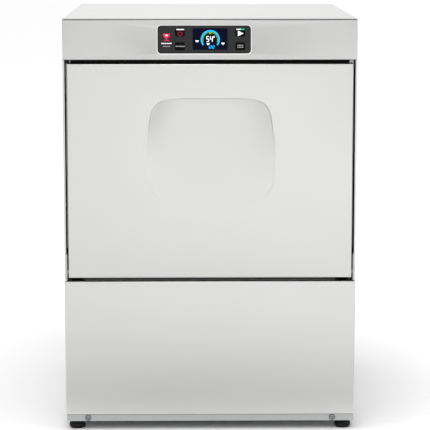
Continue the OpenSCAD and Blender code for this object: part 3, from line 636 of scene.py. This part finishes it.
chamber_low, chamber_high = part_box("wash_chamber")
inner_x = 210 * mm
inner_rear = chamber_high.y - 1 * mm
inner_top = 597 * mm
flange_y = chamber_low.y
chamber = bmesh.new()
bmesh.ops.create_cube(chamber, size=1.0)
bmesh.ops.transform(
    chamber,
    matrix=Matrix.Translation((0, (flange_y + inner_rear) / 2, (chamber_low.z + inner_top) / 2))
    @ Matrix.Diagonal((2 * inner_x, inner_rear - flange_y, inner_top - chamber_low.z, 1)),
    verts=chamber.verts,
)
bmesh.ops.delete(
    chamber,
    geom=[f for f in chamber.faces if f.normal.z < -0.9 or f.normal.y < -0.9],
    context="FACES",
)
bend(
    chamber,
    [e for e in chamber.edges if not e.is_boundary],
    14 * mm,
    8,
)
mouth = [
    e
    for e in chamber.edges
    if e.is_boundary and all(abs(v.co.y - flange_y) < 1e-5 for v in e.verts)
]
notch_z = 296 * mm
wide_x, narrow_x = chamber_high.x, 221 * mm
ends = sorted(
    (v for v in {v for e in mouth for v in e.verts} if abs(v.co.z - chamber_low.z) < 1e-5),
    key=lambda v: v.co.x,
)
around = [
    (narrow_x, chamber_low.z),
    (narrow_x, notch_z),
    (wide_x, notch_z),
    (wide_x, chamber_high.z),
    (-wide_x, chamber_high.z),
    (-wide_x, notch_z),
    (-narrow_x, notch_z),
    (-narrow_x, chamber_low.z),
]
chain = [ends[1]] + [chamber.verts.new((x, flange_y, z)) for x, z in around] + [ends[0]]
outer_edges = [chamber.edges.new(pair) for pair in zip(chain, chain[1:])]
bmesh.ops.triangle_fill(
    chamber, edges=mouth + outer_edges, use_beauty=True, use_dissolve=False, normal=(0, -1, 0)
)
bmesh.ops.recalc_face_normals(chamber, faces=chamber.faces)
chamber_roof = [
    f
    for f in chamber.faces
    if f.calc_center_median().z > inner_top - 1e-4 and f.calc_center_median().y > flange_y + 1e-3
]
if sum(f.normal.z * f.calc_area() for f in chamber_roof) > 0:
    bmesh.ops.reverse_faces(chamber, faces=chamber.faces)
piece("chamber_shell", chamber, satin, "cabinet", ["wash_chamber"], wall=1 * mm)
dress(dull_steel, "basket_rail_left", "basket_rail_right", "door_catches")
dress(rubber, "door_seal")


def shade_block(name, middle, size):
    """A plain block of black rubber on the cabinet: painted shade."""
    block = bmesh.new()
    bmesh.ops.create_cube(block, size=1.0)
    bmesh.ops.transform(
        block,
        matrix=Matrix.Translation(middle) @ Matrix.Diagonal((*size, 1)),
        verts=block.verts,
    )
    piece(name, block, rubber, "cabinet")


# A black rubber strip inside each jamb, above the hinge pin: painted shade in the gap beside the door
shade_strip_size = (0.36 * mm, 22 * mm, 334 * mm)
for side, hand in ((-1, "left"), (1, "right")):
    shade_block(f"jamb_shade_strip_{hand}", (side * 231.8 * mm, -254 * mm, 435 * mm), shade_strip_size)

# A black rubber block in the top left corner of the door's opening: painted shade in that corner
shade_block_size = (6.4 * mm, 17 * mm, 5.4 * mm)
shade_block("corner_shade_block", (-228.7 * mm, -253.5 * mm, 601 * mm), shade_block_size)

# ==== Glass basket ========================================================================
# A blue polypropylene basket, moulded in one with a lattice floor and windows in its walls.
# It slides on the two rails.

basket_blue, _, _ = finish(
    "moulded_polypropylene", "blue_plastic", "#2b539c", 0, 0.42
)
dress(basket_blue, "glass_basket")
basket_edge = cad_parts["glass_basket"].modifiers.new("moulded_edges", "BEVEL")
basket_edge.width = 0.7 * mm
basket_edge.segments = 2
basket_edge.angle_limit = math.radians(40)

# ==== Works under the tank ================================================================
# The wash pump, its hoses, the boiler and the small pumps stand on the tray behind the lower
# panel. They are bought pieces: cast aluminium, moulded plastic, rubber hose and copper pipe.

# Cast aluminium motor: pale, dull and slightly grainy
cast_aluminium = rolled_steel("cast_aluminium", "motor_aluminium", "#a3a6a8", 0.5, (2, 2, 2), 0.3)
# Copper pipe, browned where it has been handled
pipe_copper = rolled_steel("drawn_copper", "copper_pipe", "#b5704a", 0.3, (8, 8, 8), 0.05)
black_moulding, _, _ = finish("black_moulding", "black_plastic", "#1c1d20", 0, 0.4)
board_lacquer, _, _ = finish("green_board_lacquer", "board_green", "#1f5a33", 0, 0.35)
dress(cast_aluminium, "wash_pump_motor")
dress(black_moulding, "wash_pump_housing", "drain_pump", "cable_gland")
dress(dull_steel, "pump_impeller")
dress(rubber, "suction_hose", "wash_manifold")
dress(satin, "boiler")
dress(pipe_copper, "rinse_pipe")
dress(grey_moulding, "inlet_valve", "dosing_pumps", "terminal_box")
dress(board_lacquer, "control_board")

# ==== Door ================================================================================
# Two sheets: an outer one with a pressed recess that the hand pulls on, and an inner one with
# a shallow bulge. The outer sheet is satin-ground, and its edges are folded to a small radius.


def ring(bm, centre, half, corner, y, count):
    """Closed loop of edges round a rectangle with round corners, facing the front."""
    made = bmesh.ops.create_circle(bm, segments=count, radius=1.0)["verts"]
    bmesh.ops.rotate(bm, verts=made, matrix=Matrix.Rotation(math.pi / count, 3, "Z"))
    for vert in made:
        c, s = vert.co.x, vert.co.y
        vert.co = (
            centre[0] + math.copysign(half[0] - corner, c) + corner * c,
            y,
            centre[1] + math.copysign(half[1] - corner, s) + corner * s,
        )
    return sorted({e for v in made for e in v.link_edges}, key=lambda e: e.index)


def box_loop(bm, low_x, high_x, low_z, high_z, y):
    """The four edges of a rectangle that faces the front."""
    corners = [(low_x, low_z), (high_x, low_z), (high_x, high_z), (low_x, high_z)]
    verts = [bm.verts.new((x, y, z)) for x, z in corners]
    return [bm.edges.new((verts[i], verts[(i + 1) % 4])) for i in range(4)]


def loop_step(bm, edges, place):
    """Draws a loop of edges out, and puts each new vertex where place says."""
    made = bmesh.ops.extrude_edge_only(bm, edges=edges)["geom"]
    for vert in (part for part in made if isinstance(part, bmesh.types.BMVert)):
        vert.co = place(vert.co)
    return [part for part in made if isinstance(part, bmesh.types.BMEdge) and part.is_boundary]


def folded_front(bm, low, high, radius, back_y, holes=()):
    """Flat front sheet with its four sides folded back, left open where holes' edges are."""
    middle = (low + high) / 2
    edges = box_loop(
        bm, low.x + radius, high.x - radius, low.z + radius, high.z - radius, low.y
    )
    bmesh.ops.triangle_fill(
        bm, edges=edges + list(holes), use_beauty=True, use_dissolve=False, normal=(0, -1, 0)
    )
    half_x, half_z = (high.x - low.x) / 2 - radius, (high.z - low.z) / 2 - radius
    steps = 5
    for i in range(1, steps + 2):
        angle = min(i / steps, 1) * math.pi / 2
        out = radius * math.sin(angle)
        y = low.y + radius * (1 - math.cos(angle)) if i <= steps else back_y
        edges = loop_step(
            bm,
            edges,
            lambda co: (
                middle.x + math.copysign(half_x + out, co.x - middle.x),
                y,
                middle.z + math.copysign(half_z + out, co.z - middle.z),
            ),
        )
    return edges


def face_front(bm):
    """Turns a sheet's faces so that its front looks out."""
    bmesh.ops.recalc_face_normals(bm, faces=bm.faces)
    if sum(f.normal.y * f.calc_area() for f in bm.faces) > 0:
        bmesh.ops.reverse_faces(bm, faces=bm.faces)


recess_x = 1 * mm
recess_lip = 542.5 * mm
recess_foot = 371 * mm
recess_middle = 457 * mm
recess_half = 104 * mm


def smooth_step(t):
    t = min(max(t, 0), 1)
    return t * t * (3 - 2 * t)


def recess_rim(angle):
    """Point on the recess's outline, seen from its middle: a squarish oval."""
    c, s = math.cos(angle), math.sin(angle)
    tall = recess_lip - recess_middle if s > 0 else recess_middle - recess_foot
    power = 2 / (6 if s > 0 else 4)
    up = math.copysign(abs(s) ** power, s)
    half = recess_half * (1 - 0.06 * smooth_step(0.2 + 0.9 * up))
    return math.copysign(abs(c) ** power, c) * half, up * tall


def recess_floor(x, z, inward):
    """Depth of the pressing: a trough, with a step at its lip, that runs out at the foot."""
    down = min(max((recess_lip - z) / (recess_lip - recess_foot), 0), 1)
    across = min(abs(x - recess_x) / recess_half, 1)
    rise = (0.86 + 0.14 * smooth_step((down - 0.1) / 0.4)) * across**3.4
    trough = 15 * mm * (1 - rise) * (1 - down) ** 1.3
    return trough * (1 - (1 - min(inward / (2.4 * mm), 1)) ** 2)


outer_skin = bmesh.new()
rim_count = 192
rim_verts = bmesh.ops.create_circle(outer_skin, segments=rim_count, radius=1.0)["verts"]
for vert in rim_verts:
    angle = math.atan2(vert.co.y, vert.co.x)
    dx, dz = recess_rim(angle)
    vert.co = (recess_x + 1.03 * dx, door_low.y, recess_middle + 1.03 * dz)
rim_edges = list({e for v in rim_verts for e in v.link_edges})
door_low.x += 0.8 * mm
door_high.x -= 0.8 * mm
folded_front(outer_skin, door_low, door_high, 2.2 * mm, door_high.y, rim_edges)
inward_mm = [0, 0.4, 0.8, 1.2, 1.7, 2.3, 3, 4, 5.5, 7, 9, 12, 15, 19, 24, 30, 37, 46, 58, 72]
scale_now = 1.03
for inward in inward_mm:
    scale = 1 - inward * mm / (recess_lip - recess_middle)
    shrink = scale / scale_now

    def pressed(co):
        x = recess_x + (co.x - recess_x) * shrink
        z = recess_middle + (co.z - recess_middle) * shrink
        reach = math.hypot(x - recess_x, z - recess_middle)
        return x, door_low.y + recess_floor(x, z, reach * (1 / scale - 1)), z

    rim_edges = loop_step(outer_skin, rim_edges, pressed)
    scale_now = scale
bmesh.ops.contextual_create(outer_skin, geom=rim_edges)
face_front(outer_skin)
piece("door_outer", outer_skin, satin_across, "door", ["door_outer_skin"], wall=sheet, smooth_to=50)

_, inner_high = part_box("door_inner_skin")
plate_y = -242.5 * mm
notch_z, notch_x = 292 * mm, 221 * mm
plate_z = (door_low.z + 1.3 * mm, door_high.z - 1.3 * mm)
plate_x = inner_high.x - 0.1 * mm
inner_skin = bmesh.new()
plate_points = [
    (-notch_x, plate_z[0]),
    (notch_x, plate_z[0]),
    (notch_x, notch_z),
    (plate_x, notch_z),
    (plate_x, plate_z[1]),
    (-plate_x, plate_z[1]),
    (-plate_x, notch_z),
    (-notch_x, notch_z),
]
plate_verts = [inner_skin.verts.new((x, plate_y, z)) for x, z in plate_points]
plate_edges = [
    inner_skin.edges.new((plate_verts[i], plate_verts[(i + 1) % len(plate_verts)]))
    for i in range(len(plate_verts))
]
bulge_mid = (0, 428 * mm)
bulge_half = (197.5 * mm, 147.5 * mm)
bulge_r = 24 * mm
bulge = ring(inner_skin, bulge_mid, bulge_half, bulge_r, plate_y, 48)
bmesh.ops.triangle_fill(
    inner_skin, edges=plate_edges + bulge, use_beauty=True, use_dissolve=False, normal=(0, 1, 0)
)
inset_now = 0
for i in range(1, 11):
    inset_next = 12 * mm * i / 10

    def pressed_in(co):
        arc_x = math.copysign(bulge_half[0] - bulge_r, co.x)
        arc_z = bulge_mid[1] + math.copysign(bulge_half[1] - bulge_r, co.z - bulge_mid[1])
        shrink = (bulge_r - inset_next) / (bulge_r - inset_now)
        return (
            arc_x + (co.x - arc_x) * shrink,
            plate_y + (inner_high.y - plate_y) * smooth_step(i / 10),
            arc_z + (co.z - arc_z) * shrink,
        )

    bulge = loop_step(inner_skin, bulge, pressed_in)
    inset_now = inset_next
bmesh.ops.contextual_create(inner_skin, geom=bulge)
face_front(inner_skin)
bmesh.ops.reverse_faces(inner_skin, faces=inner_skin.faces)
piece("door_inner", inner_skin, satin_across, "door", ["door_inner_skin"], wall=sheet, smooth_to=50)
dress(dull_steel, "hinge_arm_left", "hinge_arm_right", "hinge_pins", "hinge_arm_screws")

# ==== Lower front panel ===================================================================
# A plain folded sheet that hides the pumps. Two hexagon-socket screws through the base strip
# hold its tabs.

lower_sheet = bmesh.new()
# A shadow gap is left over the base strip
lower_low.z = 25.5 * mm
folded_front(lower_sheet, lower_low, lower_high, 1.4 * mm, lower_low.y + 20 * mm)
# The bottom return stops at the fold, clear of the front feet's studs
foot_return = [
    f
    for f in lower_sheet.faces
    if f.calc_center_median().z < lower_low.z + 0.1 * mm
    and f.calc_center_median().y > lower_low.y + 2 * mm
]
bmesh.ops.delete(lower_sheet, geom=foot_return, context="FACES")
face_front(lower_sheet)
piece(
    "lower_sheet", lower_sheet, satin_across, "cabinet", ["lower_front_panel"], wall=sheet, smooth_to=50
)
screw_low, screw_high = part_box("lower_panel_screws")
screws = bmesh.new()
to_front = Matrix.Rotation(math.pi / 2, 4, "X")
screw_z = (screw_low.z + screw_high.z) / 2
for side in (-1, 1):
    head = [(0, 1.0), (1.9, 1.0), (2.1, 2.2), (2.3, 2.55), (3.2, 2.6), (4.4, 2.1), (5.1, 1.2)]
    head += [(5.25, 0.3), (5.0, 0), (2.9, 0), (2.9, -11), (2.4, -11.8), (0, -11.8)]
    lathe(
        screws,
        [(r * mm, h * mm) for r, h in head],
        (side * (screw_high.x - 5.3 * mm), screw_low.y + 2.7 * mm, screw_z),
        to_front,
        36,
    )
bmesh.ops.recalc_face_normals(screws, faces=screws.faces)
turned_steel = rolled_steel("turned_steel", "satin_steel", "#8b8d8f", 0.2, (0.5, 4, 4), 0.03)
piece("strip_screws", screws, turned_steel, "cabinet", ["lower_panel_screws"])

# ==== Control fascia ======================================================================
# The folded strip above the door, with a punched window whose edge is broken all round. The
# glossy overlay sits in the window and covers the display and the four keys.

overlay_low, overlay_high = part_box("control_overlay")
overlay_mid = (overlay_low + overlay_high) / 2
overlay_half = (overlay_high - overlay_low) / 2
window_half = (overlay_half.x + 0.3 * mm, overlay_half.z + 0.3 * mm)
rim_w, rim_corner, rim_points = 1.3 * mm, 6.3 * mm, 48
rim_half = (window_half[0] + rim_w, window_half[1] + rim_w)
rim_mid = (overlay_mid.x, overlay_mid.z)


def to_window(depth):
    """Takes a point from the rim's outer line in to the window's edge, this deep."""
    return lambda co: (
        overlay_mid.x + (co.x - overlay_mid.x) * window_half[0] / rim_half[0],
        fascia_low.y + depth,
        overlay_mid.z + (co.z - overlay_mid.z) * window_half[1] / rim_half[1],
    )


fascia_sheet = bmesh.new()
window_edges = ring(fascia_sheet, rim_mid, rim_half, rim_corner, fascia_low.y, rim_points)
folded_front(
    fascia_sheet,
    fascia_low,
    fascia_high,
    1.6 * mm,
    fascia_low.y + 20 * mm,
    window_edges,
)
loop_step(fascia_sheet, window_edges, to_window(0.8 * mm))

# A pale ring on the window's broken edge: painted highlight, where the edge catches the light
window_highlight = bmesh.new()
rim_loop = ring(window_highlight, rim_mid, rim_half, rim_corner, fascia_low.y, rim_points)
loop_step(window_highlight, rim_loop, to_window(0.7 * mm))
face_front(window_highlight)
rim_highlight, _, _ = finish("rim_highlight", "steel_sheet", "#f4f4f4", 0, 0.4)
piece("window_highlight", window_highlight, rim_highlight, "cabinet", wall=0.04 * mm, smooth_to=50)
face_front(fascia_sheet)
# The fascia takes the darker, painted-shade copy of the satin sheet
piece("fascia_sheet", fascia_sheet, satin_shaded_top, "cabinet", ["control_fascia"], wall=sheet, smooth_to=50)


# ==== Overlay, display and keys ===========================================================
# A glossy dark overlay with four keys and a small colour display. Its printing is plain: a
# goblet, bars in place of words, a power ring, a triangle, and the display's round gauge.

# Glossy acrylic: a deep grey under a clear, bright top surface
acrylic, _, _ = finish("glossy_acrylic", "overlay_black", "#0e0e0e", 0, 0.18, Specular_IOR_Level=0.42)
key_black, _, _ = finish(
    "key_black", "overlay_black", "#050505", 0, 0.3, Specular_IOR_Level=0.08
)
screen_glass, _, _ = finish(
    "display_glass",
    "display_glass",
    "#04050f",
    0,
    0.12,
    Specular_IOR_Level=0.04,
    Emission_Color=paint("#0a0c26"),
    Emission_Strength=0.6,
)


def ink(name, slot, colour, glow=0.0):
    """Printing, or a lit shape on the display if it glows; a glow on printing is painted light."""
    made, _, _ = finish(
        name,
        slot,
        colour,
        0,
        0.5,
        Specular_IOR_Level=0.1,
        Emission_Color=paint(colour),
        Emission_Strength=glow,
    )
    return made


lit_blue = ink("lit_blue", "display_glass", "#12a8ee", 0.85)
lit_green = ink("lit_green", "display_glass", "#6ea62e", 0.7)
lit_white = ink("lit_white", "display_glass", "#e8ecf6", 0.85)
# The printed inks glow faintly: painted light that brightens the printing
ink_white = ink("printed_white", "overlay_black", "#f4f4f4", 0.25)
ink_grey = ink("printed_grey", "overlay_black", "#a9a9a9", 0.1)
ink_red = ink("printed_red", "overlay_black", "#e2294f", 0.3)
lamp_red = ink("power_ring_red", "overlay_black", "#8e1034", 0.5)
lamp_green = ink("lamp_green", "overlay_black", "#1cc08a", 0.6)


def slab(bm, centre, half, corner, front, back, edge, count=24):
    """Flat block with round corners and a broken front edge, closed all round."""
    loop = ring(bm, centre, (half[0] - edge, half[1] - edge), max(corner - edge, edge), front, count)
    bmesh.ops.contextual_create(bm, geom=loop)

    def out(co):
        return (
            co.x + math.copysign(edge, co.x - centre[0]),
            front + edge,
            co.z + math.copysign(edge, co.z - centre[1]),
        )

    loop = loop_step(bm, loop, out)
    loop = loop_step(bm, loop, lambda co: (co.x, back, co.z))
    bmesh.ops.contextual_create(bm, geom=loop)
    bmesh.ops.recalc_face_normals(bm, faces=bm.faces)


def shape(bm, points, y):
    """Flat polygon of (x, z) points in millimetres, facing the front."""
    face = outline_face(bm, [(x * mm, y, z * mm) for x, z in points])
    face.normal_update()
    if face.normal.y > 0:
        face.normal_flip()


def bar(bm, x, z, width, height, y):
    shape(bm, [(x - width / 2, z - height / 2), (x + width / 2, z - height / 2),
               (x + width / 2, z + height / 2), (x - width / 2, z + height / 2)], y)


def disc(bm, x, z, radius_x, radius_z, y, start=0.0, end=360.0, steps=24):
    turn = [math.radians(start + (end - start) * i / steps) for i in range(steps + (end - start < 360))]
    shape(bm, [(x + radius_x * math.cos(a), z + radius_z * math.sin(a)) for a in turn], y)


def arc(bm, x, z, inner, outer, start, end, y, steps=48):
    """Part of a ring; the angles run from +X towards +Z."""
    for i in range(steps):
        a, b = (math.radians(start + (end - start) * (i + k) / steps) for k in (0, 1))
        shape(
            bm,
            [(x + r * math.cos(t), z + r * math.sin(t)) for r, t in
             ((inner, a), (outer, a), (outer, b), (inner, b))],
            y,
        )
    bmesh.ops.remove_doubles(bm, verts=bm.verts, dist=0.001 * mm)


segments_of = {"0": "abcdef", "1": "bc", "2": "abged", "4": "fgbc", "5": "afgcd"}


def figure(bm, glyph, x, z, width, height, stroke, slant, y):
    """Figure built of straight strokes, as a segment display draws it."""
    w, h, g = width / 2, height / 2, stroke * 0.5
    ends = {
        "a": ((-w, h), (w, h)),
        "b": ((w, h), (w, 0)),
        "c": ((w, 0), (w, -h)),
        "d": ((-w, -h), (w, -h)),
        "e": ((-w, 0), (-w, -h)),
        "f": ((-w, h), (-w, 0)),
        "g": ((-w, 0), (w, 0)),
    }
    for i, letter in enumerate(segments_of[glyph]):
        (x0, z0), (x1, z1) = ends[letter]
        if x0 == x1:
            box = [(x0 - g, z0), (x0, z0 + g), (x0 + g, z0), (x0 + g, z1), (x0, z1 - g), (x0 - g, z1)]
        else:
            box = [(x0, z0), (x0 + g, z0 + g), (x1 - g, z0 + g)]
            box += [(x1, z0), (x1 - g, z0 - g), (x0 + g, z0 - g)]
        shape(bm, [(x + px + slant * pz, z + pz) for px, pz in box], y - 0.002 * mm * i)


overlay_y = overlay_low.y
key_nodes = {
    "power_key": "button_power",
    "menu_key": "button_menu",
    "start_key": "button_start",
    "info_key": "button_info",
}
screen_low, screen_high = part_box("display_screen")
screen_mid = (screen_low + screen_high) / 2
overlay = bmesh.new()
holes = []
hole_sizes = []
for body, cad in key_nodes.items():
    key_low, key_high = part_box(cad)
    centre = ((key_low.x + key_high.x) / 2, (key_low.z + key_high.z) / 2)
    hole_sizes.append((centre, (7.9 * mm, 6.6 * mm), 2.1 * mm))
hole_sizes.append(
    (
        (screen_mid.x, screen_mid.z),
        ((screen_high.x - screen_low.x) / 2 + 0.1 * mm, (screen_high.z - screen_low.z) / 2 + 0.1 * mm),
        0.6 * mm,
    )
)
for centre, half, corner in hole_sizes:
    holes += ring(overlay, centre, half, corner, overlay_y, 24)
overlay_edge = ring(
    overlay,
    (overlay_mid.x, overlay_mid.z),
    (overlay_half.x - 0.25 * mm, overlay_half.z - 0.25 * mm),
    4.55 * mm,
    overlay_y,
    48,
)
bmesh.ops.triangle_fill(
    overlay, edges=overlay_edge + holes, use_beauty=True, use_dissolve=False, normal=(0, -1, 0)
)
for back in (0.25 * mm, 3.0 * mm):
    out = 0.25 * mm if back < 1 * mm else 0
    overlay_edge = loop_step(
        overlay,
        overlay_edge,
        lambda co: (
            co.x + math.copysign(out, co.x - overlay_mid.x),
            overlay_y + back,
            co.z + math.copysign(out, co.z - overlay_mid.z),
        ),
    )
face_front(overlay)
piece("overlay", overlay, acrylic, "cabinet", ["control_overlay"], wall=1 * mm)

screen = bmesh.new()
slab(
    screen,
    (screen_mid.x, screen_mid.z),
    ((screen_high.x - screen_low.x) / 2, (screen_high.z - screen_low.z) / 2),
    0.5 * mm,
    screen_low.y,
    screen_high.y,
    0.1 * mm,
)
piece("screen", screen, screen_glass, "cabinet", ["display_screen"])

lit_y = screen_low.y - 0.06 * mm
gauge = bmesh.new()
arc(gauge, 0.3, 636.3, 12.9, 15.1, -38, 218, lit_y)
for i, glyph in enumerate("120"):
    figure(gauge, glyph, -2.6 + 3.9 * i, 624.4, 2.3, 4.2, 0.75, 0.22, lit_y)
piece("gauge_blue", gauge, lit_blue, "cabinet", wall=0.04 * mm)
inner_gauge = bmesh.new()
arc(inner_gauge, 0.3, 636.3, 11.2, 12.2, -20, 200, lit_y)
disc(inner_gauge, 0.3, 646.2, 2.2, 1.0, lit_y - 0.02 * mm)
piece("gauge_green", inner_gauge, lit_green, "cabinet", wall=0.04 * mm)
readout = bmesh.new()
figure(readout, "5", -3.7, 637.2, 3.6, 8.2, 1.0, 0.1, lit_y)
figure(readout, "4", 2.0, 637.2, 3.6, 8.2, 1.0, 0.1, lit_y)
arc(readout, 6.3, 640.6, 0.7, 1.3, 0, 360, lit_y, 20)
disc(readout, -3.0, 630.6, 2.3, 2.4, lit_y, 180, 360)
bar(readout, -3.0, 628.0, 3.4, 0.5, lit_y)
disc(readout, -20.6, 634.9, 2.8, 1.7, lit_y, 180, 360)
bar(readout, -20.6, 632.6, 3.8, 0.5, lit_y)
disc(readout, 20.6, 631.2, 2.5, 2.2, lit_y, 180, 360)
bar(readout, 20.6, 628.4, 2.8, 0.4, lit_y)
piece("readout_white", readout, lit_white, "cabinet", wall=0.04 * mm)

for body, cad in key_nodes.items():
    key_low, key_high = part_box(cad)
    key = bmesh.new()
    slab(
        key,
        ((key_low.x + key_high.x) / 2, (key_low.z + key_high.z) / 2),
        (7.65 * mm, 6.35 * mm),
        2 * mm,
        key_low.y + 0.1 * mm,
        key_low.y + 4 * mm,
        0.3 * mm,
    )
    piece(f"{body}_cap", key, key_black, body, [cad])

key_y = cad_low.y + 0.04 * mm
power = bmesh.new()
arc(power, -47.6, 645.8, 2.7, 3.9, 115, 425, key_y)
bar(power, -47.6, 648.6, 1.0, 3.2, key_y - 0.02 * mm)
piece("power_ring", power, lamp_red, "power_key", wall=0.03 * mm)
power_lamp = bmesh.new()
bar(power_lamp, -47.4, 652.4, 12.4, 1.6, key_y)
piece("power_lamp", power_lamp, ink_white, "power_key", wall=0.03 * mm)
menu = bmesh.new()
for i in range(6):
    bar(menu, -53.8 + 2.45 * i, 625.6, 1.7, 1.7, key_y)
piece("menu_marks", menu, ink_grey, "menu_key", wall=0.03 * mm)
start = bmesh.new()
shape(start, [(44.2, 641.6), (53.2, 646.1), (44.2, 650.6)], key_y)
bar(start, 45.2, 652.6, 6.8, 1.7, key_y)
piece("start_triangle", start, ink_white, "start_key", wall=0.03 * mm)
start_lamp = bmesh.new()
bar(start_lamp, 51.6, 652.6, 6.0, 1.7, key_y)
piece("start_lamp", start_lamp, lamp_green, "start_key", wall=0.03 * mm)
info = bmesh.new()
for row in (-1.5, 1.5):
    for i in range(4):
        bar(info, 44.6 + 2.4 * i, 625.6 + row, 1.7, 1.5, key_y)
piece("info_marks", info, ink_grey, "info_key", wall=0.03 * mm)

mark_y = overlay_y - 0.05 * mm
goblet = bmesh.new()
disc(goblet, -69.4, 645.6, 5.6, 7.2, mark_y, 180, 360)
bar(goblet, -69.4, 637.0, 1.6, 3.4, mark_y - 0.01 * mm)
disc(goblet, -69.4, 634.4, 4.6, 1.6, mark_y - 0.02 * mm, 0, 180)
piece("goblet_mark", goblet, ink_red, "cabinet", wall=0.03 * mm)
words = bmesh.new()
disc(words, -69.4, 643.0, 2.0, 1.3, mark_y - 0.06 * mm)
for i in range(6):
    bar(words, -76.4 + 2.8 * i, 630.2, 2.2, 1.7, mark_y)
piece("name_bars", words, ink_white, "cabinet", wall=0.03 * mm)
fine_words = bmesh.new()
for i in range(5):
    bar(fine_words, -74.2 + 2.4 * i, 625.5, 1.7, 1.3, mark_y)
piece("fine_bars", fine_words, ink_grey, "cabinet", wall=0.03 * mm)

# ==== Lid =================================================================================
# A flat lid with skirts down the sides and the rear, folded from the same satin sheet. Its
# front edge rests on the fascia and leaves a fine dark line.

lid_low, lid_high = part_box("top_cover")
lid = bmesh.new()
bmesh.ops.create_cube(lid, size=1.0)
bmesh.ops.transform(
    lid,
    matrix=Matrix.Translation((lid_low + lid_high) / 2)
    @ Matrix.Diagonal((*(lid_high - lid_low), 1)),
    verts=lid.verts,
)
bmesh.ops.delete(
    lid, geom=[f for f in lid.faces if f.normal.z < -0.9 or f.normal.y < -0.9], context="FACES"
)
lid_folds = edges_at(
    lid,
    lambda p: (abs(p.z - lid_high.z) < 1e-5 and p.y > lid_low.y + 1e-4)
    or (abs(p.y - lid_high.y) < 1e-5 and abs(abs(p.x) - lid_high.x) < 1e-5),
)
bend(lid, lid_folds, fold_r)
skirt_y = lid_low.y + 20.7 * mm
bmesh.ops.bisect_plane(
    lid, geom=lid.verts[:] + lid.edges[:] + lid.faces[:], plane_co=(0, skirt_y, 0), plane_no=(0, 1, 0)
)
bmesh.ops.bisect_plane(
    lid,
    geom=lid.verts[:] + lid.edges[:] + lid.faces[:],
    plane_co=(0, 0, lid_high.z - fold_r),
    plane_no=(0, 0, 1),
)
bmesh.ops.delete(
    lid,
    geom=[
        f
        for f in lid.faces
        if f.calc_center_median().y < skirt_y and f.calc_center_median().z < lid_high.z - fold_r
    ],
    context="FACES",
)
bmesh.ops.recalc_face_normals(lid, faces=lid.faces)
if sum(f.normal.z * f.calc_area() for f in lid.faces) < 0:
    bmesh.ops.reverse_faces(lid, faces=lid.faces)
# The lid takes the darker, painted-shade copy of the satin sheet
piece("lid", lid, satin_shaded_top, "cabinet", ["top_cover"], wall=1.4 * mm, rim=0.4 * mm)
